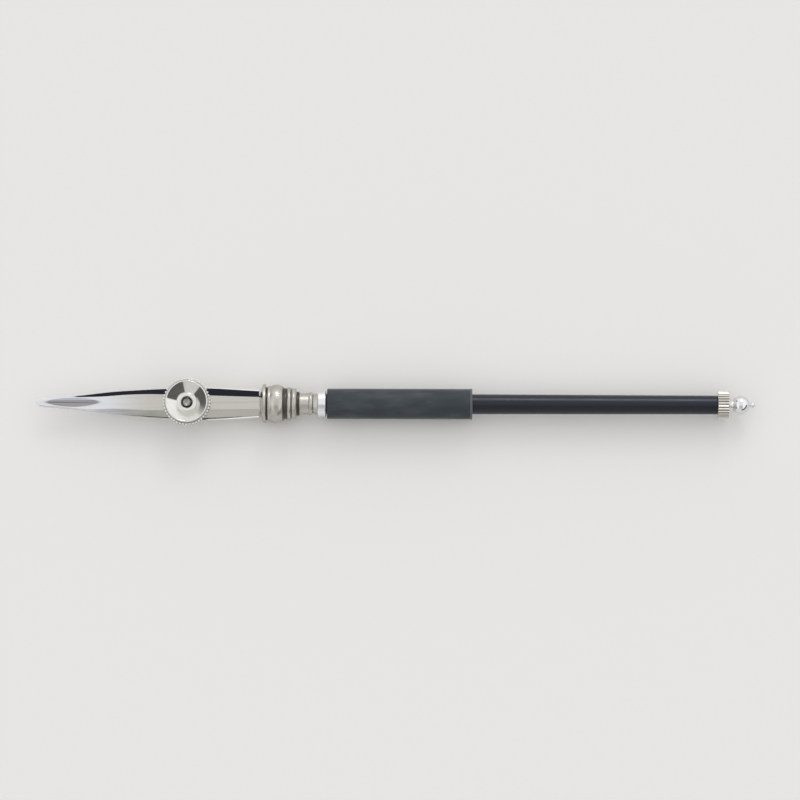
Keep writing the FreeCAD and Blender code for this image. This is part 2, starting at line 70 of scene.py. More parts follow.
# The longest rounding and the longest support, as shares of the side that they lie on.
TRIM_SHARE = 0.45
SUPPORT_SHARE = 0.04
# Flat share of each crest and each root of a knurl, and the points that draw one tooth.
KNURL_FLAT = 0.1
POINTS_PER_TOOTH = 8
# Points round the stud and round the hole in the springy blade.
STUD_SEGMENTS = 64
# Room between a bore and what it goes round, and how far a cut runs past its piece, in millimetres.
FIT = 0.01
OVERRUN = 1.0
# Shortest side that still has a direction, in millimetres.
SHORTEST = 1e-9

Limit = Callable[[np.ndarray, np.ndarray], tuple[np.ndarray, np.ndarray]]
SocketValue = Union[bpy.types.NodeSocket, float, Sequence[float]]
SocketValues = Union[dict[Union[int, str], SocketValue], Sequence[SocketValue]]


class Axis(Enum):
    """The axis that a turned surface goes round."""

    PEN = "pen"
    STUD = "stud"


class Body(Enum):
    """The bodies that the pieces ride on."""

    ROOT = "root"
    UPPER_BLADE = "upper_blade"
    ADJUSTING_NUT = "adjusting_nut"
    FINIAL = "finial"
    END_NUT = "end_nut"


@dataclass(frozen=True)
class PenFrame:
    """Where the pen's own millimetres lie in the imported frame.

    Args:
        tip_x: X of the writing tip, in metres.
        axis_z: height of the pen's axis, in metres.
        stud_x: distance from the tip to the adjusting stud, in millimetres.
    """

    tip_x: float
    axis_z: float
    stud_x: float

    @classmethod
    def from_frame(cls) -> "PenFrame":
        """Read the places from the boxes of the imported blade, ferrule and nut.

        Returns:
            The pen's frame.
        """
        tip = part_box("upper_blade")[0].x
        ferrule_low, ferrule_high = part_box("ferrule")
        nut_low, nut_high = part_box("adjusting_nut")
        return cls(tip, (ferrule_low.z + ferrule_high.z) / 2, ((nut_low.x + nut_high.x) / 2 - tip) / MM)

    def place(self, points: np.ndarray) -> np.ndarray:
        """Carry points from the pen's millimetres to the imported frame's metres."""
        return points * MM + np.array([self.tip_x, 0.0, self.axis_z])

    def span(self, node: str) -> tuple[float, float]:
        """First and last X of a CAD node, in the pen's millimetres."""
        low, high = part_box(node)
        return (low.x - self.tip_x) / MM, (high.x - self.tip_x) / MM

    def rise(self, node: str) -> tuple[float, float]:
        """Lowest and highest Z of a CAD node, in the pen's millimetres."""
        low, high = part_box(node)
        return (low.z - self.axis_z) / MM, (high.z - self.axis_z) / MM


@dataclass(frozen=True)
class Shell:
    """A surface on a grid of points, with the ways in which the grid closes on itself.

    Args:
        points: grid of rows by columns by three coordinates, in the pen's millimetres.
        wrap_rows: whether the last row joins the first.
        shade: from 0 to 1, how much painted shade each point of turned metal has, or None for none.
        On the sleeve it is a painted highlight on the rim. On the blades it is the ground hollow, and
        below 0 the far bevel's painted dark reflection.
    """

    points: np.ndarray
    wrap_rows: bool = False
    shade: Optional[np.ndarray] = None

    def faces(self) -> np.ndarray:
        """Quads of the grid: (i, j), (i + 1, j), (i + 1, j + 1), (i, j + 1). Columns always wrap.

        Returns:
            Four point numbers per quad.
        """
        rows, columns = self.points.shape[:2]
        runs = rows if self.wrap_rows else rows - 1
        i, j = np.meshgrid(np.arange(runs), np.arange(columns), indexing="ij")
        below, beside = (i + 1) % rows, (j + 1) % columns
        quads = [i * columns + j, below * columns + j, below * columns + beside, i * columns + beside]
        return np.stack(quads, axis=-1).reshape(-1, 4)


def eased(x: np.ndarray, stations: Sequence[tuple[float, float]]) -> np.ndarray:
    """A smooth curve through (x, value) stations.

    Between two stations it is the cubic with their values and slopes. The first slope is zero,
    each inner slope is that of the line between its neighbours, and the last is that of its run.

    Args:
        x: where the curve is read.
        stations: places and values in rising order.

    Returns:
        The values, held level beyond both ends.
    """
    places, values = np.array(stations, float).T
    slopes = np.zeros(len(places))
    slopes[1:-1] = (values[2:] - values[:-2]) / (places[2:] - places[:-2])
    slopes[-1] = (values[-1] - values[-2]) / (places[-1] - places[-2])
    inside = np.clip(x, places[0], places[-1])
    i = np.clip(np.searchsorted(places, inside, side="right") - 1, 0, len(places) - 2)
    span = places[i + 1] - places[i]
    t = (inside - places[i]) / span
    blend = t * t * (3 - 2 * t)
    leaning = span * (t * (1 - t) ** 2 * slopes[i] + t * t * (t - 1) * slopes[i + 1])
    return values[i] * (1 - blend) + values[i + 1] * blend + leaning


def rounded(corners: np.ndarray, trims: Sequence[float], fills: Sequence[int], closed: bool) -> np.ndarray:
    """Round the corners of one outline, or of many alike, and fill their straight runs.

    A corner c becomes the curve a/4 + c/2 + b/4 between points a and b, which lie on its two sides
    at the trim's distance, or at TRIM_SHARE of the side where that is less. A support point
    beyond each end keeps the flats beside it flat in the shading.

    Args:
        corners: corners by two coordinates, with any number of dimensions before them. Values that
            follow the two coordinates are carried along.
        trims: how far from each corner its rounding starts, in millimetres.
        fills: how many points go evenly between each corner and the next.
        closed: whether the last corner joins the first. Otherwise both ends stay as they are.

    Returns:
        The outline's points, in the same form as the corners.
    """
    count = corners.shape[-2]
    sides, starts, supports = [], [], []
    for step in (1, -1):
        way = np.roll(corners, step, axis=-2) - corners
        length = np.maximum(np.linalg.norm(way[..., :2], axis=-1, keepdims=True), SHORTEST)
        unit = way / length
        start = corners + unit * np.minimum(np.array(trims)[:, None], TRIM_SHARE * length)
        sides.append(length)
        starts.append(start)
        supports.append(start + unit * np.minimum(SUPPORT, SUPPORT_SHARE * length))
    middle = (starts[0] + 2 * corners + starts[1]) / 4
    curve = np.stack([supports[0], starts[0], middle, starts[1], supports[1]], axis=-2)
    parts = []
    for i in range(count):
        is_end = not closed and i in (0, count - 1)
        parts.append(corners[..., i:i + 1, :] if is_end else curve[..., i, :, :])
    pieces = []
    for i, part in enumerate(parts):
        pieces.append(part)
        if fills[i]:
            first, last = part[..., -1:, :], parts[(i + 1) % count][..., :1, :]
            share = np.linspace(0, 1, fills[i] + 2)[1:-1, None]
            pieces.append(first + (last - first) * share)
    return np.concatenate(pieces, axis=-2)


class Outline:
    """An outline of (along, radius) corners and arcs that is turned round an axis."""

    SMOOTH = 10.0

    def __init__(self, along: float, radius: float, trim: float = EDGE) -> None:
        """Start the outline at its first corner.

        Args:
            along: place of the corner along the axis.
            radius: distance of the corner from the axis.
            trim: size of the corner's rounding.
        """
        self.corners = [(along, radius, 0.0)]
        self.trims = [trim]
        self.fills = [0]

    def to(self, along: float, radius: float, trim: float = EDGE, fill: int = 0,
           shade: float = 0.0) -> "Outline":
        """Draw a straight run to a corner, with filling points on the run.

        Args:
            along: place of the corner along the axis.
            radius: distance of the corner from the axis.
            trim: size of the corner's rounding.
            fill: number of points on the run.
            shade: how much painted shade, or on the sleeve painted highlight, the corner has.

        Returns:
            The outline itself, so that calls can follow each other.
        """
        self.fills[-1] = fill
        self.corners.append((along, radius, shade))
        self.trims.append(trim)
        self.fills.append(0)
        return self

    def arc(self, middle: tuple[float, float], end: tuple[float, float], trim: float = EDGE,
            count: int = 10, shade: float = 0.0) -> "Outline":
        """Follow the circle through the last corner, a middle point and an end.

        The circle's centre is where the two chords' midlines cross, and the points are spaced evenly
        by angle.

        Args:
            middle: a point that the arc passes through.
            end: where the arc ends.
            trim: size of the rounding at its end.
            count: number of runs that the arc is drawn with.
            shade: how much painted shade, or on the sleeve painted highlight, the arc has.

        Returns:
            The outline itself.
        """
        first, through, last = (np.array(p[:2], float) for p in (self.corners[-1], middle, end))
        chords = np.stack([through - first, last - through])
        middles = np.stack([first + through, last + through]) / 2
        centre = np.linalg.solve(chords, np.einsum("ij,ij->i", chords, middles))
        bearings = [math.atan2(*(p - centre)[::-1]) for p in (first, through, last)]
        turn = (bearings[1] - bearings[0] + math.pi) % FULL_TURN - math.pi
        turn += (bearings[2] - bearings[1] + math.pi) % FULL_TURN - math.pi
        angle = bearings[0] + turn * np.arange(1, count) / count
        reach = np.linalg.norm(first - centre)
        for along, radius in zip(centre[0] + reach * np.cos(angle), centre[1] + reach * np.sin(angle)):
            self.to(along, radius, self.SMOOTH, shade=shade)
        return self.to(*end, trim, shade=shade)

    def turned(self, axis: Axis, segments: int = 160, limit: Optional[Limit] = None, stud_x: float = 0.0,
               ring: bool = False) -> Shell:
        """Turn the outline: across = r cos(angle) and up = r sin(angle), with r at most the limit.

        Args:
            axis: the pen's axis, or the stud's.
            segments: number of points round the axis.
            limit: gives the largest radius and its shade for places along the axis and angles round it.
            stud_x: X of the stud, for a shape that goes round it.
            ring: whether the outline closes on itself, as a ring's does. Otherwise it ends on the axis.

        Returns:
            The turned shell.
        """
        line = rounded(np.array(self.corners), self.trims, self.fills, ring)
        along, radius, shade = (np.repeat(line[:, i:i + 1], segments, axis=1) for i in range(3))
        angle = np.broadcast_to(np.arange(segments) * FULL_TURN / segments, radius.shape)
        if limit is not None:
            largest, depth = limit(along, angle)
            shade = np.where(radius > largest - SUPPORT, np.maximum(shade, depth), shade)
            radius = np.minimum(radius, largest)
        across, up = radius * np.cos(angle), radius * np.sin(angle)
        if axis is Axis.PEN:
            return Shell(np.stack([along, across, up], axis=-1), ring, shade)
        return Shell(np.stack([stud_x + across, up, along], axis=-1), ring, shade)


def knurl(radius: float, depth: float, teeth: int, first: float = 0.0) -> Limit:
    """The radius that straight V teeth leave: radius less depth times a triangle wave of the angle.

    Args:
        radius: radius over the crests.
        depth: depth of the teeth.
        teeth: number of teeth.
        first: angle of one crest.

    Returns:
        A function of place and angle.
    """
    def largest(_along: np.ndarray, angle: np.ndarray) -> tuple[np.ndarray, np.ndarray]:
        """Largest radius and its shade, from 0 on a crest to 1 in a root.

        Args:
            _along: places along the axis, which straight teeth don't need.
            angle: angles round the axis.

        Returns:
            The radius and the shade at each point.
        """
        wave = np.abs(((angle - first) * teeth / FULL_TURN + 0.5) % 1 - 0.5) * 2
        share = np.clip((1 + 2 * KNURL_FLAT) * wave - KNURL_FLAT, 0, 1)
        return radius - depth * share, share
    return largest


def thread(radius: float, depth: float, pitch: float, start: float, end: float) -> Limit:
    """The radius that a screw thread leaves: a triangle wave of place / pitch less angle / turn.

    Args:
        radius: radius over the crests.
        depth: depth of the thread.
        pitch: distance between crests.
        start: place along the axis where the thread starts.
        end: place where it ends.

    Returns:
        A function of place and angle.
    """
    def largest(along: np.ndarray, angle: np.ndarray) -> tuple[np.ndarray, np.ndarray]:
        """Largest radius and its shade, from 0 on a crest to 1 in a root.

        Args:
            along: places along the axis.
            angle: angles round the axis.

        Returns:
            The radius and the shade at each point.
        """
        wave = np.abs((along / pitch - angle / FULL_TURN) % 1 - 0.5) * 2
        threaded = np.clip(np.minimum(along - start, end - along) / (pitch / 4), 0, 1)
        share = threaded * (1 - wave)
        return np.where(threaded > 0, radius - depth * share, 2 * radius), share
    return largest


def lofted(x: np.ndarray, corners: np.ndarray, trims: Sequence[float], fills: Sequence[int]) -> Shell:
    """A closed skin through sections: each is rounded, and both ends close on their middle points.

    Args:
        x: places of the sections along the pen.
        corners: sections by corners by (y, z).
        trims: rounding of each corner.
        fills: points between each corner and the next.

    Returns:
        The lofted shell.
    """
    loops = rounded(corners, trims, fills, True)
    along = np.broadcast_to(x[:, None, None], loops.shape[:-1] + (1,))
    points = np.concatenate([along, loops], axis=-1)
    ends = points[[0, -1]].mean(axis=1, keepdims=True).repeat(points.shape[1], axis=1)
    return Shell(np.concatenate([ends[:1], points, ends[1:]]))


def bar(x_start: float, x_end: float, half_width: float, bottom: float, top: float) -> Shell:
    """A straight bar with rounded edges, centred on the pen's axis in Y.

    Args:
        x_start: where it starts along the pen.
        x_end: where it ends.
        half_width: half its width.
        bottom: height of its underside.
        top: height of its upper side.

    Returns:
        The bar's shell.
    """
    x = np.array([x_start, x_end])
    section = np.array([(-half_width, bottom), (-half_width, top),
                        (half_width, top), (half_width, bottom)])
    return lofted(x, np.repeat(section[None], 2, axis=0), [EDGE] * 4, [0] * 4)


@dataclass
class Workshop:
    """Makes the pieces, carves them and hands them to their bodies.

    Args:
        pen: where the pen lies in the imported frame.
        finishes: materials by name.
    """

    pen: PenFrame
    finishes: dict[str, bpy.types.Material]

    def piece(self, name: str, shell: Shell) -> bpy.types.Object:
        """Make a closed shell a mesh with merged seams, outward faces and smooth shading.

        Args:
            name: the piece's name.
            shell: closed shell in the pen's millimetres.

        Returns:
            The new object, at the origin.
        """
        mesh = bpy.data.meshes.new(name)
        mesh.from_pydata(self.pen.place(shell.points.reshape(-1, 3)).tolist(), [], shell.faces().tolist())
        shade = np.zeros(shell.points.shape[:2]) if shell.shade is None else shell.shade
        attribute = mesh.attributes.new("shade", "FLOAT", "POINT")
        attribute.data.foreach_set("value", shade.ravel().astype(np.float32))
        grid = bmesh.new()
        grid.from_mesh(mesh)
        bmesh.ops.remove_doubles(grid, verts=grid.verts, dist=MERGE_DISTANCE)
        bmesh.ops.dissolve_degenerate(grid, edges=grid.edges, dist=MERGE_DISTANCE)
        bmesh.ops.recalc_face_normals(grid, faces=grid.faces)
        grid.to_mesh(mesh)
        grid.free()
        self.shade(mesh)
        made = bpy.data.objects.new(name, mesh)
        bpy.context.scene.collection.objects.link(made)
        return made

    @staticmethod
    def shade(mesh: bpy.types.Mesh) -> None:
        """Shade smooth, and keep an edge sharp where its faces turn by more than the sharp angle."""
        mesh.polygons.foreach_set("use_smooth", np.ones(len(mesh.polygons), bool))
        mesh.set_sharp_from_angle(angle=SHARP_ANGLE)

    def carve(self, made: bpy.types.Object, hole: Shell) -> None:
        """Cut a closed shell out of a piece and keep the result as its mesh.

        Args:
            made: the piece.
            hole: what is cut out of it.
        """
        cutter = self.piece(made.name + "_cutter", hole)
        cut = made.modifiers.new("cut", "BOOLEAN")
        cut.operation = "DIFFERENCE"
        cut.solver = "EXACT"
        cut.object = cutter
        evaluated = made.evaluated_get(bpy.context.evaluated_depsgraph_get())
        carved = bpy.data.meshes.new_from_object(evaluated)
        made.modifiers.clear()
        made.data = carved
        bpy.data.objects.remove(cutter)
        self.shade(carved)

    def make(self, name: str, shell: Shell, node: str, slot: str, body: Body = Body.ROOT,
             hole: Optional[Shell] = None, finish: Optional[str] = None) -> None:
        """Make a piece, with its material, its body and the CAD node that it stands for.

        Args:
            name: the piece's name.
            shell: closed shell in the pen's millimetres.
            node: the CAD node that it replaces.
            slot: the node's material slot.
            body: the body that it rides on.
            hole: a closed shell that is cut out of it, or None for none.
            finish: the name of its finish, or None where that is the slot's name.
        """
        made = self.piece(name, shell)
        if hole is not None:
            self.carve(made, hole)
        made.data.materials.clear()
        made.data.materials.append(self.finishes[finish or slot])
        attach(made, body.value)
        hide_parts(node)
        LOG.info("%s: %d faces on %s", made.name, len(made.data.polygons), body.value)

    def repaint(self, node: str, finish: str) -> None:
        """Give a CAD node that stays in view a better material.

        Args:
            node: the CAD node.
            finish: the name of its finish.
        """
        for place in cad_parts[node].material_slots:
            place.material = self.finishes[finish]
        LOG.info("%s keeps its CAD shape", node)


def linear(code: str) -> tuple[float, float, float, float]:
    """Turn an sRGB hex colour to linear: c / 12.92 when small, else ((c + 0.055) / 1.055) to the 2.4.

    Args:
        code: the colour, as "#RRGGBB".

    Returns:
        Linear red, green and blue, and a full alpha.
    """
    channels = (int(code[i:i + 2], 16) / 255 for i in (1, 3, 5))
    red, green, blue = (c / 12.92 if c <= 0.04045 else ((c + 0.055) / 1.055) ** 2.4 for c in channels)
    return red, green, blue, 1.0


def add_node(tree: bpy.types.NodeTree, kind: str, inputs: SocketValues = (),
             **settings: object) -> bpy.types.Node:
    """Add a node, with its settings, and with each input either set or linked.

    Args:
        tree: the tree that gets the node.
        kind: the node's type name.
        inputs: values or output sockets, in the order of the inputs, or by their name or number.
        settings: attributes of the node.

    Returns:
        The new node.
    """
    node = tree.nodes.new(kind)
    for key, value in settings.items():
        setattr(node, key, value)
    for key, value in inputs.items() if isinstance(inputs, dict) else enumerate(inputs):
        if isinstance(value, bpy.types.NodeSocket):
            tree.links.new(value, node.inputs[key])
        else:
            node.inputs[key].default_value = value
    return node


def new_material(name: str) -> tuple[bpy.types.Material, bpy.types.NodeTree, bpy.types.Node]:
    """A material with an empty tree.

    Args:
        name: the material's name.

    Returns:
        The material, its tree and its output node.
    """
    material = bpy.data.materials.new(name)
    material.use_nodes = True
    material.node_tree.nodes.clear()
    output = add_node(material.node_tree, "ShaderNodeOutputMaterial")
    return material, material.node_tree, output


def stretched_noise(tree: bpy.types.NodeTree, place: bpy.types.NodeSocket, sizes_mm: Sequence[float],
                    detail: float = 3.0) -> bpy.types.NodeSocket:
    """Noise whose spots have the given sizes along X, Y and Z, in millimetres.

    Args:
        tree: the tree that gets the nodes.
        place: coordinates in metres.
        sizes_mm: size of a spot along each axis.
        detail: octaves of finer noise.

    Returns:
        The noise, from 0 to 1.
    """
    scale = [1 / (size * MM) for size in sizes_mm]
    mapping = add_node(tree, "ShaderNodeMapping", {"Vector": place, "Scale": scale})
    inputs = {"Vector": mapping.outputs[0], "Scale": 1.0, "Detail": detail}
    return add_node(tree, "ShaderNodeTexNoise", inputs).outputs["Fac"]


def layered(tree: bpy.types.NodeTree, base: SocketValue,
            layers: Sequence[tuple[bpy.types.NodeSocket, SocketValue]]) -> bpy.types.NodeSocket:
    """Lay colours over a base one after another, each by its share.

    Args:
        tree: the tree that gets the nodes.
        base: the colour at the bottom.
        layers: the share and the colour of each layer, from the bottom up.

    Returns:
        The socket with the resulting colour.
    """
    for share, colour in layers:
        mixed = {0: share, 6: base, 7: colour}
        base = add_node(tree, "ShaderNodeMix", mixed, data_type="RGBA").outputs[2]
    return base


@dataclass(frozen=True)
class GroundSteel:
    """Tempered carbon steel, ground and polished lengthwise by hand.

    The grinding leaves fine lines along the blade, so highlights spread across it. The bare steel
    is a cool grey at the nib and a little warmer towards the root. The hollow of the nib is
    scratched darker, straw-tinted on its near side and bluish on its far side. The far bevel is
    painted blue-black, as a painted dark reflection of dark surroundings.

    Real grinding lines and scratches are finer than 0.05 mm. They are drawn coarser, so that they
    show. Sizes of spots are along X, Y and Z, and each range is where a ramp starts and ends.
    """

    name: str = "carbon_steel_ground_lengthwise"
    nib: str = "#DFE0E4"
    root: str = "#C6C4BC"
    streak: str = "#8A8A8E"
    scratch: str = "#55535A"
    straw: str = "#A8A29C"
    blue: str = "#B4BAC6"
    # Colour of the far bevel's painted dark reflection.
    bevel_dark_reflection: str = "#23242C"
    roughness: tuple[float, float] = (0.16, 0.28)
    nib_length_mm: float = 12.0
    line_mm: tuple[float, float, float] = (9.0, 0.2, 0.2)
    line_depth_mm: float = 0.004
    streak_mm: tuple[float, float, float] = (14.0, 0.5, 0.5)
    streak_range: tuple[float, float] = (0.5, 0.8)
    streak_share: float = 0.2
    smear_mm: tuple[float, float, float] = (4.0, 1.5, 1.5)
    smear_range: tuple[float, float] = (0.3, 0.7)
    scratch_mm: tuple[float, float, float] = (26.0, 0.15, 4.0)
    scratch_range: tuple[float, float] = (0.42, 0.54)
    scratched_y_mm: tuple[float, float] = (0.35, 0.7)
    scratched_shares: tuple[float, float] = (0.85, 0.15)
    tint_y_mm: tuple[float, float] = (0.1, 0.6)
    hollow_range: tuple[float, float] = (0.02, 0.7)
    hollow_share: float = 0.85
    # Negative shades that take the far bevel's painted dark reflection.
    bevel_dark_reflection_range: tuple[float, float] = (-0.9, -0.2)

    def hollow(self, tree: bpy.types.NodeTree, place: bpy.types.NodeSocket,
               across: bpy.types.NodeSocket) -> bpy.types.NodeSocket:
        """Colour of the nib's hollow: scratched straw on the near side, blue on the far side.

        Args:
            tree: the steel's tree.
            place: coordinates in metres.
            across: the place across the blade.

        Returns:
            The socket with the colour.
        """
        tint_from, tint_to, near, far = (y * MM for y in self.tint_y_mm + self.scratched_y_mm)
        scratches = stretched_noise(tree, place, self.scratch_mm, 1.0)
        tinted, lined, near_side = (
            add_node(tree, "ShaderNodeMapRange", values, interpolation_type="SMOOTHSTEP").outputs[0]
            for values in ((across, tint_from, tint_to), (scratches, *self.scratch_range),
                           (across, near, far, *self.scratched_shares)))
        scratched = add_node(tree, "ShaderNodeMath", (lined, near_side), operation="MULTIPLY").outputs[0]
        layers = ((tinted, linear(self.blue)), (scratched, linear(self.scratch)))
        return layered(tree, linear(self.straw), layers)

    def build(self, pen: PenFrame) -> bpy.types.Material:
        """Make the material, with its lines in the pen's frame.

        Args:
            pen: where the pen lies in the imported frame.

        Returns:
            The material.
        """
        material, tree, output = new_material(self.name)
        place = add_node(tree, "ShaderNodeTexCoord").outputs["Object"]
        along, across, _up = add_node(tree, "ShaderNodeSeparateXYZ", (place,)).outputs
        shade = add_node(tree, "ShaderNodeAttribute", attribute_name="shade").outputs["Fac"]
        streaks = stretched_noise(tree, place, self.streak_mm, 1.0)
        smears = stretched_noise(tree, place, self.smear_mm, 2.0)
        nib_end = pen.tip_x + self.nib_length_mm * MM
        tone, streaked, ground, bevel_darkened, dull = (
            add_node(tree, "ShaderNodeMapRange", values, interpolation_type="SMOOTHSTEP").outputs[0]
            for values in ((along, nib_end, nib_end + self.nib_length_mm * MM),
                           (streaks, *self.streak_range, 0.0, self.streak_share),
                           (shade, *self.hollow_range, 0.0, self.hollow_share),
                           (shade, *self.bevel_dark_reflection_range, 1.0, 0.0),
                           (smears, *self.smear_range, *self.roughness)))
        # The last layer paints the far bevel's dark reflection.
        colour = layered(tree, linear(self.nib), (
            (tone, linear(self.root)), (streaked, linear(self.streak)),
            (ground, self.hollow(tree, place, across)), (bevel_darkened, linear(self.bevel_dark_reflection))))
        lines = {"Height": stretched_noise(tree, place, self.line_mm), "Strength": 1.0,
                 "Distance": self.line_depth_mm * MM}
        shader = add_node(tree, "ShaderNodeBsdfPrincipled", {
            "Base Color": colour, "Metallic": 1.0, "Roughness": dull,
            "Normal": add_node(tree, "ShaderNodeBump", lines).outputs[0]})
        tree.links.new(shader.outputs[0], output.inputs["Surface"])
        return material


@dataclass(frozen=True)
class TurnedMetal:
    """Metal turned in a lathe, then polished or plated.

    The tool leaves rings round the axis, which break the highlights a little. Shade is painted into
    knurls, threads and recesses, and handling leaves faint smears. Real tool marks lie closer than 0.05
    mm.
    They are drawn coarser, so that they show.

    Args:
        name: the metal's common name and how it was made.
        colour: its colour.
        tarnish: the colour of its duller spots, and of the shade painted into its grooves.
        axis: the axis that the tool marks go round.
        roughness: where it is brightest and where it is dullest.
        mark_mm: spacing of the tool marks.
        mark_depth_mm: their depth.
        tarnish_share: how much of that colour shows as duller spots on the open surface.
    """

    name: str
    colour: str
    tarnish: str
    axis: Axis = Axis.PEN
    roughness: tuple[float, float] = (0.2, 0.4)
    mark_mm: float = 0.15
    mark_depth_mm: float = 0.0012
    tarnish_share: float = 0.3
    smear_mm: float = 1.6
    smear_range: tuple[float, float] = (0.3, 0.75)
    spot_range: tuple[float, float] = (0.45, 0.75)
    # Shade values that darken towards the duller colour: painted shade in grooves and recesses.
    recess_shade_range: tuple[float, float] = (0.2, 0.9)
    recess_shade_share: float = 0.95

    def across_marks(self, tree: bpy.types.NodeTree, place: bpy.types.NodeSocket,
                     pen: PenFrame) -> bpy.types.NodeSocket:
        """Coordinates that change only across the tool marks: X, or distance from the stud and Z.

        Args:
            tree: the metal's tree.
            place: coordinates in metres.
            pen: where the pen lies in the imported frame.

        Returns:
            The socket with the coordinates.
        """
        parts = add_node(tree, "ShaderNodeSeparateXYZ", (place,)).outputs
        round_pen = self.axis is Axis.PEN
        middle = (0, 0, -pen.axis_z) if round_pen else (-pen.tip_x - pen.stud_x * MM, 0, 0)
        kept = (0, 1, 1) if round_pen else (1, 1, 0)
        inputs = {"Vector": place, "Location": middle, "Scale": kept}
        centred = add_node(tree, "ShaderNodeMapping", inputs).outputs[0]
        away = add_node(tree, "ShaderNodeVectorMath", (centred,), operation="LENGTH").outputs["Value"]
        across = {"X": parts["X"], "Y": away} if round_pen else {"X": away, "Y": parts["Z"]}
        return add_node(tree, "ShaderNodeCombineXYZ", across).outputs[0]

    def build(self, pen: PenFrame) -> bpy.types.Material:
        """Make the material, with its marks round the right axis.

        Args:
            pen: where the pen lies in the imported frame.

        Returns:
            The material.
        """
        material, tree, output = new_material(self.name)
        place = add_node(tree, "ShaderNodeTexCoord").outputs["Object"]
        shade = add_node(tree, "ShaderNodeAttribute", attribute_name="shade").outputs["Fac"]
        smears = stretched_noise(tree, place, (self.smear_mm,) * 3)
        # Painted shade: the shade attribute darkens grooves, roots and recesses towards the duller colour.
        recess_shade, spots, dull = (
            add_node(tree, "ShaderNodeMapRange", values, interpolation_type="SMOOTHSTEP").outputs[0]
            for values in ((shade, *self.recess_shade_range, 0.0, self.recess_shade_share),
                           (smears, *self.spot_range, 0.0, self.tarnish_share),
                           (smears, *self.smear_range, *self.roughness)))
        share = add_node(tree, "ShaderNodeMath", (recess_shade, spots), operation="MAXIMUM").outputs[0]
        across = self.across_marks(tree, place, pen)
        marks = {"Height": stretched_noise(tree, across, (self.mark_mm,) * 3, 2.0), "Strength": 1.0,
                 "Distance": self.mark_depth_mm * MM}
        shader = add_node(tree, "ShaderNodeBsdfPrincipled", {
            "Base Color": layered(tree, linear(self.colour), ((share, linear(self.tarnish)),)),
            "Metallic": 1.0, "Roughness": dull,
            "Normal": add_node(tree, "ShaderNodeBump", marks).outputs[0]})
        tree.links.new(shader.outputs[0], output.inputs["Surface"])
        return material


@dataclass(frozen=True)
class CoatedGrip:
    """A coating or lacquer over the handle: colour, an even fine grain and light wear.

    Args:
        name: the material's common name and how it was made.
        colour: its colour.
        worn_and_highlight: its colour where fingers have polished it, also painted on the rim as a
            highlight.
        roughness: its roughness where it is polished and where it is matt.
        grain_mm: size of its grain, drawn coarser than the real 0.05 mm, so that it shows.
        grain_depth_mm: depth of its grain.
        specular: its specular level.
        sheen: how much light its dusty grain catches at grazing angles.
        gloss_tint: the colour that its clear reflections take, a painted tint that stands in for bluish
            light.
    """

    name: str
    colour: str
    worn_and_highlight: str
    roughness: tuple[float, float]
    grain_mm: float
    grain_depth_mm: float
    specular: float
    sheen: float
    gloss_tint: str = "#FFFFFF"
    smear_mm: tuple[float, float, float] = (6.0, 2.0, 2.0)
    smear_range: tuple[float, float] = (0.3, 0.8)
    patch_range: tuple[float, float] = (0.4, 0.8)
    patch_share: float = 0.12
    # Shade values that take the worn colour as a painted highlight on the rim.
    rim_highlight_range: tuple[float, float] = (0.2, 0.8)
    sheen_roughness: float = 0.3

    def build(self, _pen: PenFrame) -> bpy.types.Material:
        """Make the material.

        Args:
            _pen: where the pen lies, which an even grain doesn't need.

        Returns:
            The material.
        """
        material, tree, output = new_material(self.name)
        place = add_node(tree, "ShaderNodeTexCoord").outputs["Object"]
        shade = add_node(tree, "ShaderNodeAttribute", attribute_name="shade").outputs["Fac"]
        smears = stretched_noise(tree, place, self.smear_mm)
        polished, matt = self.roughness
        # The rim ramp paints a highlight in the worn colour where the shade attribute is set.
        patches, rim, dull = (
            add_node(tree, "ShaderNodeMapRange", values, interpolation_type="SMOOTHSTEP").outputs[0]
            for values in ((smears, *self.patch_range, 0.0, self.patch_share), (shade, *self.rim_highlight_range),
                           (smears, *self.smear_range, matt, polished)))
        wear = add_node(tree, "ShaderNodeMath", (patches, rim), operation="MAXIMUM").outputs[0]
        grain = {"Height": stretched_noise(tree, place, (self.grain_mm,) * 3, 2.0), "Strength": 1.0,
                 "Distance": self.grain_depth_mm * MM}
        shader = add_node(tree, "ShaderNodeBsdfPrincipled", {
            "Base Color": layered(tree, linear(self.colour), ((wear, linear(self.worn_and_highlight)),)),
            "Roughness": dull, "Specular IOR Level": self.specular,
            "Specular Tint": linear(self.gloss_tint), "Sheen Weight": self.sheen,
            "Sheen Roughness": self.sheen_roughness,
            "Normal": add_node(tree, "ShaderNodeBump", grain).outputs[0]})
        tree.links.new(shader.outputs[0], output.inputs["Surface"])
        return material


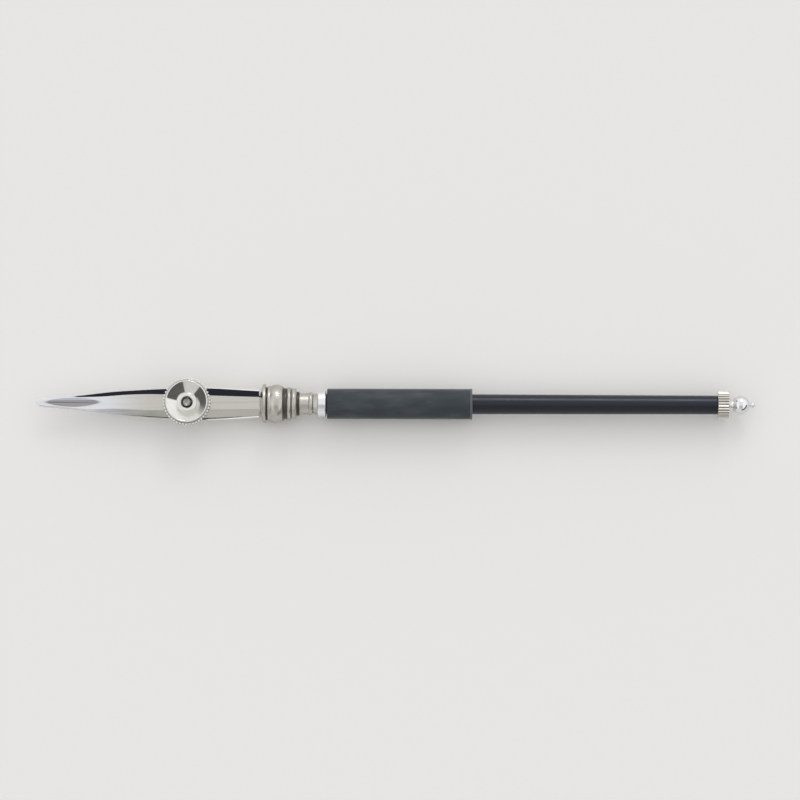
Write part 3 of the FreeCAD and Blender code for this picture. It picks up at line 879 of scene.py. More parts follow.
@dataclass(frozen=True)
class Finishes:
    """The finishes of the pen's pieces, built once.

    Args:
        pen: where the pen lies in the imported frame.
    """

    pen: PenFrame

    def build(self) -> dict[str, bpy.types.Material]:
        """Build each finish under its name.

        Returns:
            Materials by name.
        """
        stud = Axis.STUD
        kinds = {
            # Long soft highlights along the blade.
            "blade_steel": GroundSteel(),
            # A lighter copy of the blade steel, as a painted highlight along the stiff blade's edge.
            "lit_lower_steel": GroundSteel("carbon_steel_lightened_edge", "#F0F0F2", "#F2F0EA",
                                       roughness=(0.1, 0.28)),
            # Bare turned steel: grey, with painted shade in its thread and on its end.
            "stud_steel": TurnedMetal("carbon_steel_turned", "#B4B2AE", "#2A2826", stud),
            # Plate on a turned dish: sharp sectors of light and dark; painted shade in knurl and bore.
            "nut_nickel": TurnedMetal("nickel_plate_turned_dish", "#E2E1DC", "#2C2826", stud,
                                      (0.07, 0.15), 0.12, 0.0008, 0.08),
            # Turned and worn by hands: warm and satin, with painted shade in its grooves and cove.
            "ferrule_nickel": TurnedMetal("nickel_silver_turned", "#BFBDB5", "#3A3733",
                                          roughness=(0.26, 0.42), mark_mm=0.16, mark_depth_mm=0.0016,
                                          tarnish_share=0.12),
            # The brightest and coolest band of the pen.
            "collar_chrome": TurnedMetal("chrome_plate_on_brass", "#EDEDEF", "#8A8488",
                                         roughness=(0.1, 0.18), mark_mm=0.3, mark_depth_mm=0.0004,
                                         tarnish_share=0.1),
            # Pale teeth, with painted shade in the lines between them.
            "end_nickel": TurnedMetal("nickel_plate_knurled", "#E8E3DC", "#7C756E",
                                      roughness=(0.28, 0.44), mark_mm=0.2, mark_depth_mm=0.001,
                                      tarnish_share=0.1),
            # A mirror ball with a small sharp highlight.
            "finial_chrome": TurnedMetal("chrome_plate_polished", "#E4E4E6", "#9A9698",
                                         roughness=(0.05, 0.12), mark_mm=0.25, mark_depth_mm=0.0003,
                                         tarnish_share=0.1),
            # A yellow ring that shows when the end nut comes away.
            "bush_brass": TurnedMetal("brass_turned", "#C9A24E", "#7A5C28", roughness=(0.2, 0.35)),
            # Plain grey, with painted shade in its thread.
            "rod_steel": TurnedMetal("carbon_steel_drawn_rod", "#B4B2AE", "#2A2826"),
            # Blue-grey and matt, with hardly any highlight but a painted one on its tail rim.
            "sleeve_grey": CoatedGrip("aluminium_anodised_matt", "#31383E", "#8C9096", (0.45, 0.55),
                                      0.12, 0.003, 0.3, 0.5),
            # Near black, with one soft highlight along it, tinted bluish by a painted tint of the light.
            "handle_black": CoatedGrip("lacquer_satin_black", "#060607", "#0E0F10", (0.25, 0.35),
                                       0.3, 0.001, 0.6, 0.0, "#E0E8FF"),
        }
        return {slot: kind.build(self.pen) for slot, kind in kinds.items()}


@dataclass
class BladePair:
    """The two blades: leaf-shaped from above, ground to two bevels and a flat, with tangs.

    Args:
        shop: makes the pieces.
    """

    shop: Workshop
    length: float = 44.6
    nose_length: float = 2.7
    nose_half_width: float = 0.9
    nose_blunt: float = 0.12
    waist_x: float = 8.7
    waist_half_width: float = 1.44
    shoulder_x: float = 16.7
    shoulder_half_width: float = 2.3
    widest_x: float = 32.5
    upper_widest: float = 2.98
    upper_root: float = 2.46
    lower_widest: float = 3.3
    lower_root: float = 2.8
    flat_bands: tuple[tuple[float, float], ...] = (
        (0, 0.95), (5.2, 1.05), (12.8, 1.16), (18.8, 1.56), (23.7, 1.65), (44.6, 1.2))
    near_flat: tuple[tuple[float, float], ...] = (
        (0, 0.95), (9.0, 1.4), (11.5, 1.4), (15.0, 1.2), (18.8, 1.3), (23.7, 1.5), (44.6, 1.1))
    # Where along the blade the far bevel's painted dark reflection fades in.
    bevel_dark_reflection_reach: tuple[tuple[float, float], ...] = ((5.5, 0), (8.8, 1))
    rim: float = 0.2
    tip_gap: float = 0.4
    upper_tip_thickness: float = 0.2
    upper_shoulder_thickness: float = 0.55
    upper_seat_thickness: float = 0.65
    upper_root_thickness: float = 0.55
    upper_bow: float = 0.35
    upper_tang_bottom: float = 0.1
    lower_tip_thickness: float = 0.25
    lower_hollow: float = 0.75
    lower_underside: float = 2.0
    lower_trim: float = SOFT
    lower_flat_start_x: float = 20.0
    edge_share: float = 0.45
    grind_start_x: float = 0.5
    grind_end_x: float = 14.2
    grind_depth: float = 0.07
    grind_half_width: float = 0.85
    stain_middle_y: float = 0.1
    stain_half_width: float = 1.0
    stain_gain: float = 2.5
    tang_half_width: float = 1.5
    upper_tang_length: float = 3.8
    lower_tang_length: float = 4.4
    lower_tang_thickness: float = 1.15
    stud_hole_radius: float = 1.45
    bevel_trim: float = 0.07
    fills: tuple[int, ...] = (1, 9, 15, 9, 1, 9)
    nose_sections: int = 22
    leaf_sections: int = 190

    def stations(self) -> np.ndarray:
        """X of the sections: close together round the nose by a cosine, then even."""
        nose = self.nose_length * (1 - np.cos(np.linspace(0, math.pi / 2, self.nose_sections)))
        return np.concatenate([nose, np.linspace(self.nose_length, self.length, self.leaf_sections)[1:]])

    def half_width(self, x: np.ndarray, widest: float, root: float) -> np.ndarray:
        """Half the width: a quarter ellipse w sqrt(1 - (1 - x / n)^2) at the nose, then a leaf.

        Args:
            x: places of the sections.
            widest: half the width where the leaf is widest.
            root: half the width at the root.

        Returns:
            Half the width at each section.
        """
        stations = ((self.nose_length - self.waist_x, 0), (self.nose_length, self.nose_half_width),
                    (self.waist_x, self.waist_half_width), (self.shoulder_x, self.shoulder_half_width),
                    (self.widest_x, widest), (self.length, root))
        share = np.clip(1 - x / self.nose_length, 0, 1)
        ellipse = np.maximum(self.nose_blunt, self.nose_half_width * np.sqrt(1 - share ** 2))
        return np.where(x < self.nose_length, ellipse, eased(x, stations))

    def upper_faces(self, x: np.ndarray) -> tuple[np.ndarray, np.ndarray]:
        """Heights of the upper blade's inside face and of its flat band, as smooth curves along X.

        Args:
            x: places of the sections.

        Returns:
            Both heights at each section.
        """
        stud_x = self.shop.pen.stud_x
        inside = eased(x, ((0, self.tip_gap / 2), (stud_x, self.upper_bow),
                           (self.length, self.upper_tang_bottom)))
        thickness = eased(x, ((0, self.upper_tip_thickness),
                              (self.shoulder_x, self.upper_shoulder_thickness),
                              (stud_x, self.upper_seat_thickness),
                              (self.length, self.upper_root_thickness)))
        return inside, inside + thickness

    def lower_faces(self, x: np.ndarray) -> tuple[np.ndarray, np.ndarray]:
        """Heights of the lower blade's inside face and of its outside before it is ground flat.

        Args:
            x: places of the sections.

        Returns:
            Both heights at each section.
        """
        tip = -self.tip_gap / 2 - self.lower_tip_thickness
        deep = -self.lower_underside - self.lower_trim
        inside = eased(x, ((0, -self.tip_gap / 2), (self.shop.pen.stud_x, -self.lower_hollow),
                           (self.length, 0)))
        outside = eased(x, ((0, tip), (self.shoulder_x / 2, (tip + deep) / 2),
                            (self.lower_flat_start_x, deep), (self.length, deep)))
        return inside, outside

    def leaf(self, x: np.ndarray, wide: np.ndarray, inside: np.ndarray, outside: np.ndarray,
             edge_trim: float, tang: tuple[float, float, float]) -> Shell:
        """A blade's skin, as one loft along X: inside face, two edges, two bevels, a flat and a tang.

        Args:
            x: places of the sections.
            wide: half the width at each section.
            inside: height of the inside face at each section.
            outside: height of the flat band at each section.
            edge_trim: rounding of the edges.
            tang: length of the tang, and heights of its two faces.

        Returns:
            The skin.
        """
        widest = np.maximum(wide - self.rim, wide / 2)
        flat, near = (np.minimum(eased(x, bands), widest) for bands in (self.flat_bands, self.near_flat))
        edge = inside + (outside - inside) * self.edge_share
        section = [(-wide, inside), (-wide, edge), (-near, outside),
                   (flat, outside), (wide, edge), (wide, inside)]
        corners = np.stack([np.stack(corner, axis=-1) for corner in section], axis=1)
        reach, low, high = tang
        side, middle = self.tang_half_width, (low + high) / 2
        bar_section = np.array([(-side, low), (-side, middle), (-side, high),
                                (side, high), (side, middle), (side, low)])
        corners = np.concatenate([corners, bar_section[None], bar_section[None]])
        places = np.concatenate([x, [self.length, self.length + reach]])
        trims = (edge_trim, edge_trim, self.bevel_trim, self.bevel_trim, edge_trim, edge_trim)
        return lofted(places, corners, trims, self.fills)

    def worked(self, points: np.ndarray, edge: np.ndarray, outside: np.ndarray) -> Shell:
        """Grind the hollow: depth d ((1 - ((x - m) / h)^2)^2 - (y / w)^2), where that is above 0.

        The same leaf, moved to the near side, is stained. The far bevel, which is past the flat and
        above the edge, gets a painted dark reflection as a negative shade.

        Args:
            points: the skin's grid.
            edge: height of the edge at each section of the grid.
            outside: height of the flat band at each section.

        Returns:
            The skin, with the points of its outside lowered and shaded.
        """
        x, y, z = np.moveaxis(points, -1, 0)
        middle = (self.grind_start_x + self.grind_end_x) / 2
        half = (self.grind_end_x - self.grind_start_x) / 2
        leaf = np.clip(1 - ((x - middle) / half) ** 2, 0, 1) ** 2
        bowl = leaf - (y / self.grind_half_width) ** 2
        stain = leaf - ((y - self.stain_middle_y) / self.stain_half_width) ** 2
        above = z > edge[:, None] - EDGE
        ground = outside[:, None] - self.grind_depth * np.clip(bowl, 0, 1)
        height = np.where(above, np.minimum(z, ground), z)
        # The far bevel is marked below 0 for its painted dark reflection.
        past = np.clip((y - eased(x, self.flat_bands)) / EDGE, 0, 1) * above
        shade = np.clip(stain * self.stain_gain, 0, 1) * above - past * eased(x, self.bevel_dark_reflection_reach)
        return Shell(np.stack([x, y, height], axis=-1), shade=shade)

    def upper(self) -> None:
        """Make the springy blade: leaf with its hollow nib, tang, and the hole that clears the stud."""
        x = self.stations()
        inside, outside = self.upper_faces(x)
        low = self.upper_tang_bottom
        tang = (self.upper_tang_length, low, low + self.upper_root_thickness)
        wide = self.half_width(x, self.upper_widest, self.upper_root)
        skin = self.leaf(x, wide, inside, outside, EDGE, tang)
        edge, flat = (np.interp(skin.points[:, 0, 0], x, height)
                      for height in (inside + (outside - inside) * self.edge_share, outside))
        hole = Outline(-self.lower_hollow, 0).to(-self.lower_hollow, self.stud_hole_radius)
        hole.to(self.lower_underside, self.stud_hole_radius).to(self.lower_underside, 0)
        self.shop.make("blade_upper", self.worked(skin.points, edge, flat), "upper_blade", "blade_steel",
                       Body.UPPER_BLADE,
                       hole.turned(Axis.STUD, STUD_SEGMENTS, stud_x=self.shop.pen.stud_x))

    def lower(self, countersink: Shell) -> None:
        """Make the stiff blade: wider, hollowed inside, flat underneath, with a countersunk hole.

        Args:
            countersink: the stud's own shape, a little larger.
        """
        x = self.stations()
        inside, outside = self.lower_faces(x)
        tang = (self.lower_tang_length, -SUPPORT / 4, -self.lower_tang_thickness)
        wide = self.half_width(x, self.lower_widest, self.lower_root)
        skin = self.leaf(x, wide, inside, outside, SOFT, tang)
        skin.points[..., 2] = np.maximum(skin.points[..., 2], -self.lower_underside)
        # Its finish is a lighter copy of the blade steel, a painted highlight along its edge.
        self.shop.make("blade_lower", skin, "lower_blade", "blade_steel", hole=countersink,
                       finish="lit_lower_steel")


@dataclass
class AdjustingScrew:
    """The stud with its slotted countersunk head, and the dished, knurled nut on it.

    Args:
        shop: makes the pieces.
    """

    shop: Workshop
    stud_radius: float = 1.0
    head_radius: float = 1.6
    head_height: float = 0.6
    end_chamfer: float = 0.25
    dimple: float = 0.5
    slot_half_width: float = 0.2
    slot_depth: float = 0.3
    thread_depth: float = 0.2
    thread_pitch: float = 0.4
    thread_start: float = -0.7
    seat_radius: float = 2.1
    undercut: float = 0.35
    knurl_radius: float = 4.78
    knurl_height: float = 1.25
    tooth_depth: float = 0.3
    tooth_count: int = 44
    shoulder: float = 0.08
    rim_radius: float = 4.16
    rim_width: float = 0.16
    rim_height: float = 0.25
    rim_draft: float = 0.07
    hub_radius: float = 1.84
    hub_height: float = 0.95
    hub_draft: float = 0.08
    dish_floor: float = 0.8
    dish_trim: float = 0.15
    bore_radius: float = 1.1
    bore_chamfer: float = 0.15

    def stud_outline(self, clearance: float, dimple: float) -> Outline:
        """The stud's outline, thicker by the clearance, with a lathe centre's dimple in its end.

        Args:
            clearance: how much it is thicker.
            dimple: depth of the dimple.

        Returns:
            The outline.
        """
        bottom, top = self.shop.pen.rise("adjusting_stud")
        radius = self.stud_radius + clearance
        outline = Outline(bottom - clearance, 0).to(bottom - clearance, self.head_radius + clearance, HAIR)
        outline.to(bottom + self.head_height, radius).to(top - self.end_chamfer, radius, fill=90)
        # The end and its dimple take painted shade, so the bore of the nut looks dark.
        outline.to(top, radius - self.end_chamfer, CRISP, shade=0.5)
        outline.to(top, radius - self.end_chamfer - SUPPORT, HAIR / 2, shade=0.5)
        return outline.to(top - dimple, 0, shade=0.45)

    def countersink(self) -> Shell:
        """The stud's shape with a hair of clearance, which the lower blade is cut to."""
        outline = self.stud_outline(FIT, 0.0)
        return outline.turned(Axis.STUD, STUD_SEGMENTS, stud_x=self.shop.pen.stud_x)

    def stud(self) -> None:
        """Make the stud: thread cut into its shank, and a screwdriver slot across its head."""
        bottom, top = self.shop.pen.rise("adjusting_stud")
        stud_x, reach = self.shop.pen.stud_x, 2 * self.head_radius
        # The thread's roots take painted shade.
        cut = thread(self.stud_radius, self.thread_depth, self.thread_pitch, self.thread_start,
                     top + self.thread_pitch)
        shell = self.stud_outline(0.0, self.dimple).turned(Axis.STUD, STUD_SEGMENTS, cut, stud_x)
        slot = bar(stud_x - reach, stud_x + reach, self.slot_half_width,
                   bottom - self.slot_depth, bottom + self.slot_depth)
        self.shop.make("stud", shell, "adjusting_stud", "stud_steel", hole=slot)

    def nut(self) -> None:
        """Make the nut: knurled edge, smooth rim, conical dish and a raised hub round the thread."""
        bottom, top = self.shop.pen.rise("adjusting_nut")
        knurl_bottom = bottom + self.undercut
        knurl_top = knurl_bottom + self.knurl_height
        shoulder = self.knurl_radius - self.tooth_depth - self.shoulder
        hub_top = bottom + self.hub_height
        outline = Outline(bottom, self.bore_radius)
        outline.to(bottom, self.seat_radius).to(knurl_bottom, self.seat_radius)
        outline.to(knurl_bottom, self.knurl_radius, BROAD, 3).to(knurl_top, self.knurl_radius, BROAD, 4)
        # The shoulder inside the knurl takes painted shade.
        outline.to(knurl_top, shoulder + self.shoulder, HAIR, 3, shade=0.2)
        outline.to(knurl_top, shoulder, CRISP, shade=0.65)
        outline.to(top - self.rim_height, self.rim_radius + self.rim_draft, SOFT, 3, shade=0.5)
        outline.to(top, self.rim_radius, SOFT).to(top, self.rim_radius - self.rim_width, SOFT)
        outline.to(bottom + self.dish_floor, self.hub_radius + self.hub_draft, self.dish_trim, 6)
        outline.to(hub_top, self.hub_radius, self.hub_draft)
        outline.to(hub_top, self.bore_radius + self.bore_chamfer, HAIR)
        # The bore's chamfer takes full painted shade.
        outline.to(hub_top - self.bore_chamfer, self.bore_radius, shade=1.0)
        # The knurl's roots take painted shade.
        teeth = knurl(self.knurl_radius, self.tooth_depth, self.tooth_count, math.pi / 2)
        shell = outline.turned(Axis.STUD, self.tooth_count * POINTS_PER_TOOTH, teeth,
                               self.shop.pen.stud_x, True)
        self.shop.make("nut_adjusting", shell, "adjusting_nut", "nut_nickel", Body.ADJUSTING_NUT)


@dataclass
class Ferrule:
    """The turned metal between the blades and the handle: flange, ferrule and shank.

    Args:
        shop: makes the pieces.
    """

    shop: Workshop
    flange_radius: float = 3.92
    dome: float = 0.7
    dome_radius: float = 2.3
    dome_trim: float = 0.2
    flange_trims: tuple[float, float] = (0.08, 0.12)
    slot_half_width: float = 1.6
    slot_bottom: float = -1.16
    slot_top: float = 0.75
    slot_length: float = 3.5
    groove_length: float = 0.4
    groove_radius: float = 3.3
    lip_length: float = 0.5
    lip_radius: float = 3.5
    barrel_length: float = 2.4
    barrel_radius: float = 3.82
    barrel_peak_share: float = 0.58
    cove_length: float = 1.05
    cove_radius: float = 3.1
    cove_steps: tuple[float, float] = (0.06, 0.05)
    cove_drop: float = 0.1
    ring_length: float = 0.6
    ring_radius: float = 3.34
    ring_groove_length: float = 0.2
    ring_groove_depth: float = 0.2
    tail_ring_radius: float = 3.12
    shank_radius: float = 2.4
    step_length: float = 0.6
    step_groove: float = 0.1
    neck_length: float = 1.8
    neck_start: float = 0.15
    neck_radius: float = 2.12
    bead_length: float = 0.8
    bead_radius: float = 2.34
    cone_length: float = 1.0
    cone_radius: float = 1.85
    cone_start: tuple[float, float] = (0.2, 0.05)
    spigot_radius: float = 1.49

    def tang_slot(self, x_start: float, x_end: float) -> Shell:
        """The slot that the tangs pass through."""
        return bar(x_start, x_end, self.slot_half_width, self.slot_bottom, self.slot_top)

    def flange(self) -> None:
        """Make the domed disc in front, with its slot."""
        front, back = self.shop.pen.span("front_flange")
        rim_trim, back_trim = self.flange_trims
        outline = Outline(front, 0).to(front, self.dome_radius / 2, self.dome_trim)
        rim = (front + self.dome, self.flange_radius)
        outline.arc((front + self.dome / 3, self.dome_radius), rim, rim_trim)
        outline.to(back, self.flange_radius, back_trim).to(back, 0)
        self.shop.make("flange_front", outline.turned(Axis.PEN), "front_flange", "ferrule_nickel",
                       hole=self.tang_slot(front - OVERRUN, back + OVERRUN))

    def ferrule(self) -> None:
        """Make the baluster ferrule: groove, lip, barrel, cove and two rings."""
        start, back = self.shop.pen.span("ferrule")
        bore = self.shank_radius + FIT
        lip = start + self.groove_length
        barrel = lip + self.lip_length
        cove = barrel + self.barrel_length
        ring = cove + self.cove_length
        ring_end = ring + self.ring_length
        ring_edge = self.ring_radius - self.ring_groove_depth / 2
        tail = ring_end + self.ring_groove_length
        # Shades paint shade into the front groove, the cove and the grooves behind the ring.
        outline = Outline(start, bore).to(start, self.groove_radius, shade=0.9)
        outline.to(lip, self.groove_radius, shade=0.9).to(lip, self.lip_radius, CRISP)
        crest = self.lip_radius + self.lip_length / 8
        outline.arc((lip + self.lip_length / 2, crest), (barrel, self.lip_radius), SOFT, 6)
        peak = barrel + self.barrel_length * self.barrel_peak_share
        outline.arc((peak, self.barrel_radius), (cove, self.lip_radius), SOFT, 14)
        down, up = self.cove_steps
        outline.to(cove + down, self.lip_radius - self.cove_drop, CRISP, shade=0.8)
        cove_end = (ring - up, ring_edge - self.cove_drop)
        outline.arc((cove + self.cove_length / 2, self.cove_radius), cove_end, CRISP, 10, 0.8)
        outline.to(ring, ring_edge, CRISP)
        outline.arc((ring + self.ring_length / 2, self.ring_radius), (ring_end, ring_edge), CRISP, 6)
        outline.to(ring_end, self.ring_radius - self.ring_groove_depth, SOFT, shade=0.7)
        outline.to(tail, self.ring_radius - 2 * self.ring_groove_depth, SOFT, shade=0.7)
        crest = ((tail + back) / 2, self.tail_ring_radius)
        outline.arc(crest, (back, self.shank_radius + self.lip_length / 2), EASY, 8)
        outline.to(back, bore)
        shell = outline.turned(Axis.PEN, ring=True)
        self.shop.make("ferrule_baluster", shell, "ferrule", "ferrule_nickel")

    def shank(self) -> None:
        """Make the shank: slotted end inside the ferrule, then neck, bead, cone and spigot."""
        start, end = self.shop.pen.span("slotted_shank")
        neck = self.shop.pen.span("ferrule")[1] + self.step_length
        bead = neck + self.neck_length
        cone = bead + self.bead_length
        collar = cone + self.cone_length
        step = neck - self.step_length
        outline = Outline(start, 0).to(start, self.shank_radius)
        # Shades paint shade into the step, the neck's foot and the cone.
        outline.to(step - self.step_groove, self.shank_radius, shade=0.85)
        outline.to(neck, self.shank_radius, BROAD, 3, shade=0.85)
        outline.to(neck, self.neck_radius, SOFT, shade=0.4)
        outline.to(neck + self.neck_start, self.neck_radius, HAIR)
        outline.to(bead, self.neck_radius, HAIR)
        outline.arc((bead + self.bead_length / 2, self.bead_radius), (cone, self.neck_radius), HAIR, 8)
        outline.to(cone, self.cone_radius, SOFT, shade=0.8)
        along, rise = self.cone_start
        outline.to(cone + along, self.cone_radius + rise, SOFT, shade=0.3)
        outline.to(collar, self.neck_radius, SOFT)
        outline.to(collar, self.spigot_radius).to(end, self.spigot_radius).to(end, 0)
        self.shop.make("shank_slotted", outline.turned(Axis.PEN), "slotted_shank", "ferrule_nickel",
                       hole=self.tang_slot(start - OVERRUN, start + self.slot_length))


@dataclass
class Handle:
    """The handle: chromed collar, grip sleeve and slim lacquered tube.

    Args:
        shop: makes the pieces.
    """

    shop: Workshop
    collar_radius: float = 2.66
    collar_edge: float = 0.15
    sleeve_radius: float = 3.05
    sleeve_rim_length: float = 0.5
    sleeve_rim_height: float = 0.08
    tube_radius: float = 2.0
    tube_tail_radius: float = 1.87
    tube_bore: float = 1.5
    taper_trim: float = 1.0
    tail_trim: float = 0.08

    def collar(self) -> None:
        """Make the plain bright collar."""
        front, back = self.shop.pen.span("handle_collar")
        inner = self.collar_radius - self.collar_edge
        outline = Outline(front, self.tube_bore).to(front, inner, EASY)
        outline.to(front + self.collar_edge, self.collar_radius, EASY)
        outline.to(back - self.collar_edge, self.collar_radius, EASY)
        outline.to(back, inner, EASY).to(back, self.tube_bore)
        shell = outline.turned(Axis.PEN, ring=True)
        self.shop.make("collar_handle", shell, "handle_collar", "collar_chrome")

    def sleeve(self) -> None:
        """Make the grip sleeve, with its raised rim at the tail end."""
        front, back = self.shop.pen.span("grip_sleeve")
        bore = self.tube_radius + FIT
        rim = back - self.sleeve_rim_length
        outline = Outline(front, bore).to(front, self.sleeve_radius - self.sleeve_rim_height, SOFT)
        outline.to(front + self.sleeve_rim_height, self.sleeve_radius, SOFT)
        outline.to(rim, self.sleeve_radius, CRISP, 40)
        crest = (rim + self.sleeve_rim_length / 2, self.sleeve_radius + self.sleeve_rim_height)
        # The rim's shade paints a highlight on it in the sleeve's lighter colour.
        outline.arc(crest, (back, self.sleeve_radius), EASY, 6, 0.42)
        outline.to(back, bore)
        self.shop.make("sleeve_grip", outline.turned(Axis.PEN, ring=True), "grip_sleeve", "sleeve_grey")

    def tube(self) -> None:
        """Make the slim tube: straight under the sleeve, then tapering to the tail."""
        front, back = self.shop.pen.span("handle_tube")
        taper = self.shop.pen.span("grip_sleeve")[1]
        outline = Outline(front, self.tube_bore).to(front, self.tube_radius)
        outline.to(taper, self.tube_radius, self.taper_trim)
        outline.to(back, self.tube_tail_radius, self.tail_trim, 60).to(back, self.tube_bore)
        self.shop.make("tube_handle", outline.turned(Axis.PEN, ring=True), "handle_tube", "handle_black")


@dataclass
class TailFittings:
    """The end of the pen: threaded tie rod, knurled nut and finial.

    Args:
        shop: makes the pieces.
    """

    shop: Workshop
    rod_radius: float = 0.9
    thread_length: float = 9.0
    thread_pitch: float = 0.5
    thread_depth: float = 0.14
    rod_segments: int = 48
    rod_trim: float = 0.15
    running: float = 0.05
    nut_radius: float = 2.74
    nut_chamfer: float = 0.12
    tooth_depth: float = 0.2
    tooth_count: int = 28
    foot_radius: float = 1.4
    waist_radius: float = 0.98
    waist_x: float = 0.6
    ball_radius: float = 1.84
    ball_centre_x: float = 2.4
    socket: float = 1.9
    button_radius: float = 0.56
    button_reach: float = 0.5
    button_stem_radius: float = 0.3
    waist_trim: float = 0.2
    ball_segments: int = 96

    def tie_rod(self) -> None:
        """Make the tie rod, threaded over its tail end."""
        start, end = self.shop.pen.span("tie_rod")
        threaded = end - self.thread_length
        outline = Outline(start, 0).to(start, self.rod_radius, BROAD)
        outline.to(threaded, self.rod_radius, SOFT, 20)
        outline.to(end, self.rod_radius, self.rod_trim, 150).to(end, 0)
        # The thread's roots take painted shade.
        cut = thread(self.rod_radius, self.thread_depth, self.thread_pitch, threaded,
                     end + self.thread_pitch)
        shell = outline.turned(Axis.PEN, self.rod_segments, cut)
        self.shop.make("rod_tie", shell, "tie_rod", "stud_steel", finish="rod_steel")

    def end_nut(self) -> None:
        """Make the knurled nut, with its teeth chamfered at both ends."""
        start, end = self.shop.pen.span("end_nut")
        bore = self.rod_radius + self.running
        outline = Outline(start, bore).to(start, self.nut_radius - self.nut_chamfer, SOFT, 3)
        outline.to(start + self.nut_chamfer, self.nut_radius, SOFT)
        outline.to(end - self.nut_chamfer, self.nut_radius, SOFT, 4)
        outline.to(end, self.nut_radius - self.nut_chamfer, SOFT).to(end, bore, fill=3)
        # The knurl's roots take painted shade.
        teeth = knurl(self.nut_radius, self.tooth_depth, self.tooth_count)
        shell = outline.turned(Axis.PEN, self.tooth_count * POINTS_PER_TOOTH, teeth, ring=True)
        self.shop.make("nut_end", shell, "end_nut", "end_nickel", Body.END_NUT)

    def finial(self) -> None:
        """Make the finial: flared foot, waist, ball and button, with the rod's socket inside."""
        start, end = self.shop.pen.span("finial")
        ball = start + self.ball_centre_x
        button = ball + self.ball_radius + self.button_reach
        bore = self.rod_radius + self.running
        ball_front = ball - math.sqrt(self.ball_radius ** 2 - self.waist_radius ** 2)
        ball_back = ball + math.sqrt(self.ball_radius ** 2 - self.button_stem_radius ** 2)
        button_front = button - math.sqrt(self.button_radius ** 2 - self.button_stem_radius ** 2)
        lean = self.button_radius * math.sqrt(0.5)
        outline = Outline(start + self.socket, 0).to(start + self.socket, bore).to(start, bore)
        outline.to(start, self.foot_radius, EASY)
        outline.to(min(start + self.waist_x, ball_front), self.waist_radius, self.waist_trim)
        outline.to(ball_front, self.waist_radius, EDGE)
        outline.arc((ball, self.ball_radius), (ball_back, self.button_stem_radius), SOFT, 24)
        outline.to(button_front, self.button_stem_radius, CRISP)
        outline.arc((button + lean, lean), (end, 0), 0.0, 14)
        shell = outline.turned(Axis.PEN, self.ball_segments)
        self.shop.make("finial_ball", shell, "finial", "finial_chrome", Body.FINIAL)


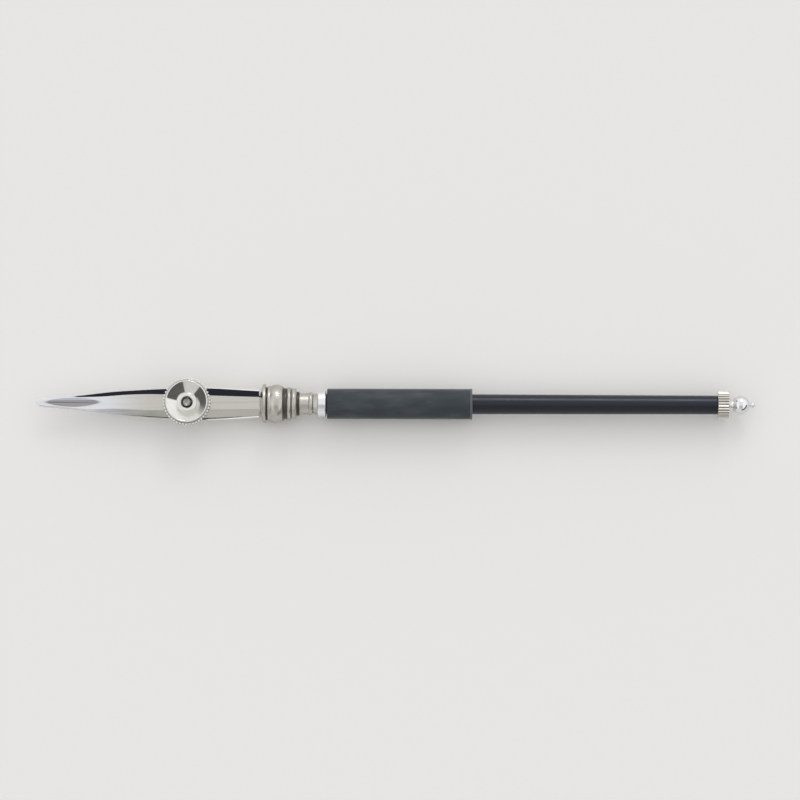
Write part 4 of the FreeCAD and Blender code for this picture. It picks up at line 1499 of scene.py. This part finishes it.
@dataclass
class Studio:
    """A pale floor, a world of soft panels with one long narrow lamp, and the camera.

    Light levels are told at stops of an angle in degrees. Each range is where a ramp starts and ends.

    Args:
        pen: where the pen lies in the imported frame.
    """

    pen: PenFrame
    floor_reach: float = 3.0
    floor_colour: str = "#E9E8E6"
    floor_spot_mm: float = 60.0
    floor_spot_range: tuple[float, float] = (0.3, 0.7)
    floor_roughness: tuple[float, float] = (0.47, 0.5)
    floor_specular: float = 0.2
    view_x_mm: float = 0.86
    view_y_mm: float = 0.81
    distance: float = 0.85
    elevation_degrees: float = 82.0
    roll_degrees: float = 0.177
    frame_width_mm: float = 160.0
    sensor_mm: float = 36.0
    clip_start: float = 0.01
    leans: tuple[tuple[float, float], ...] = (
        (-90, 0.75), (-60, 0.75), (-45, 0.6), (-34, 0.52), (-24, 0.52), (-14, 0.78), (-8, 0.94),
        (14, 0.94), (48, 1.02), (66, 1.02), (90, 1.0))
    lamp: tuple[tuple[float, float], ...] = ((38, 0), (52, 5.6), (63, 5.6), (76, 0))
    lamp_start: tuple[float, float] = (-0.002, 0.018)
    lamp_end: tuple[float, float] = (0.18, 0.28)
    bearings: tuple[tuple[float, float], ...] = (
        (-180, 0.12), (-142, 0.12), (-138, 0.75), (-83, 0.75), (-79, 0.12), (-3, 0.12), (1, 1.1),
        (127, 1.1), (131, 0.12), (180, 0.12))
    side_level: float = 1.15
    side_range: tuple[float, float] = (0.3, 0.45)
    overhead_range: tuple[float, float] = (0.4, 0.52)
    band_level: float = 0.87
    band_range: tuple[float, float] = (0.08, 0.15)
    brightest: float = 6.0

    def floor(self) -> None:
        """Lay the floor: painted board with a faint unevenness."""
        reach = self.floor_reach
        mesh = bpy.data.meshes.new("floor")
        corners = [(-reach, -reach, 0), (reach, -reach, 0), (reach, reach, 0), (-reach, reach, 0)]
        mesh.from_pydata(corners, [], [(0, 1, 2, 3)])
        floor = bpy.data.objects.new("floor", mesh)
        bpy.context.scene.collection.objects.link(floor)
        material, tree, output = new_material("board_painted_pale")
        place = add_node(tree, "ShaderNodeTexCoord").outputs["Object"]
        spots = stretched_noise(tree, place, (self.floor_spot_mm,) * 3)
        values = (spots, *self.floor_spot_range, *self.floor_roughness)
        dull = add_node(tree, "ShaderNodeMapRange", values, interpolation_type="SMOOTHSTEP").outputs[0]
        shader = add_node(tree, "ShaderNodeBsdfPrincipled", {
            "Base Color": linear(self.floor_colour), "Specular IOR Level": self.floor_specular,
            "Roughness": dull})
        tree.links.new(shader.outputs[0], output.inputs["Surface"])
        mesh.materials.append(material)

    def levels(self, tree: bpy.types.NodeTree, angle: bpy.types.NodeSocket,
               stops: Sequence[tuple[float, float]]) -> bpy.types.NodeSocket:
        """Light levels at stops of an angle, joined by straight runs.

        Args:
            tree: the world's tree.
            angle: the angle, in radians.
            stops: angles in degrees, in rising order, with the level at each.

        Returns:
            The socket with the level.
        """
        first, last = math.radians(stops[0][0]), math.radians(stops[-1][0])
        share = add_node(tree, "ShaderNodeMapRange", (angle, first, last)).outputs[0]
        steps = add_node(tree, "ShaderNodeValToRGB", (share,))
        elements = steps.color_ramp.elements
        for degrees, _level in stops[1:-1]:
            elements.new((math.radians(degrees) - first) / (last - first))
        for element, (_degrees, level) in zip(elements, stops):
            element.color = (level / self.brightest,) * 3 + (1.0,)
        scaled = (steps.outputs["Color"], self.brightest)
        return add_node(tree, "ShaderNodeMath", scaled, operation="MULTIPLY").outputs[0]

    def light(self) -> None:
        """Light the scene from a world of soft panels, placed by the direction that is looked in.

        Overhead, the level follows the lean, which is the angle from straight up towards +Y. A long
        narrow lamp stands at one lean over the tail's half. Lower down, the level follows the bearing
        round the pen, counted from +X, with dark gaps between the panels, which polished metal shows
        as dark sectors. A pale band lies at the horizon.
        """
        world = bpy.data.worlds.new("studio")
        bpy.context.scene.world = world
        world.use_nodes = True
        tree = world.node_tree
        tree.nodes.clear()
        way = add_node(tree, "ShaderNodeTexCoord").outputs["Generated"]
        x, y, z = add_node(tree, "ShaderNodeSeparateXYZ", (way,)).outputs
        lean, bearing = (add_node(tree, "ShaderNodeMath", (y, other), operation="ARCTAN2").outputs[0]
                         for other in (z, x))
        sideways = add_node(tree, "ShaderNodeMath", (x,), operation="ABSOLUTE").outputs[0]
        aside, lamp_start, lamp_end, high, low = (
            add_node(tree, "ShaderNodeMapRange", values, interpolation_type="SMOOTHSTEP").outputs[0]
            for values in ((sideways, *self.side_range), (x, *self.lamp_start),
                           (x, *self.lamp_end, 1.0, 0.0), (z, *self.overhead_range),
                           (z, *self.band_range)))
        reach = add_node(tree, "ShaderNodeMath", (lamp_start, lamp_end), operation="MULTIPLY").outputs[0]
        lit = (reach, self.levels(tree, lean, self.lamp), self.levels(tree, lean, self.leans))
        panels = add_node(tree, "ShaderNodeMath", lit, operation="MULTIPLY_ADD").outputs[0]
        overhead = add_node(tree, "ShaderNodeMix", {0: aside, 2: panels, 3: self.side_level}).outputs[0]
        around = self.levels(tree, bearing, self.bearings)
        level = add_node(tree, "ShaderNodeMix", {0: high, 2: around, 3: overhead}).outputs[0]
        level = add_node(tree, "ShaderNodeMix", {0: low, 2: self.band_level, 3: level}).outputs[0]
        sky = add_node(tree, "ShaderNodeBackground", {"Color": (1, 1, 1, 1), "Strength": level})
        output = add_node(tree, "ShaderNodeOutputWorld")
        tree.links.new(sky.outputs[0], output.inputs["Surface"])

    def camera(self) -> None:
        """Stand the camera above the pen's near side, a little before straight down."""
        data = bpy.data.cameras.new("camera")
        data.sensor_width = self.sensor_mm
        data.lens = self.sensor_mm * self.distance / (self.frame_width_mm * MM)
        data.clip_start = self.clip_start
        camera = bpy.data.objects.new("camera", data)
        bpy.context.scene.collection.objects.link(camera)
        rise = math.radians(self.elevation_degrees)
        back = Vector((0, -math.cos(rise), math.sin(rise)))
        target = Vector((self.view_x_mm * MM, self.view_y_mm * MM, self.pen.axis_z))
        turn = (-back).to_track_quat("-Z", "Y").to_matrix().to_4x4()
        roll = Matrix.Rotation(math.radians(self.roll_degrees), 4, "Z")
        camera.matrix_world = Matrix.Translation(target + back * self.distance) @ turn @ roll
        bpy.context.scene.camera = camera
        # Colours are shown as they are, with no added contrast.
        bpy.context.scene.view_settings.view_transform = "Standard"


def main() -> None:
    """Build the pen's pieces in order, then the studio round them."""
    logging.basicConfig(level=logging.INFO, format="%(name)s: %(message)s")
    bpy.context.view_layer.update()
    pen = PenFrame.from_frame()
    shop = Workshop(pen, Finishes(pen).build())
    screw, blades = AdjustingScrew(shop), BladePair(shop)
    blades.upper()
    blades.lower(screw.countersink())
    screw.stud()
    screw.nut()
    ferrule = Ferrule(shop)
    ferrule.flange()
    ferrule.ferrule()
    ferrule.shank()
    handle = Handle(shop)
    handle.collar()
    handle.sleeve()
    handle.tube()
    tail = TailFittings(shop)
    tail.tie_rod()
    tail.end_nut()
    tail.finial()
    shop.repaint("blade_pins", "rod_steel")
    shop.repaint("tail_bush", "bush_brass")
    studio = Studio(pen)
    studio.floor()
    studio.light()
    studio.camera()


if __name__ == "__main__":
    main()
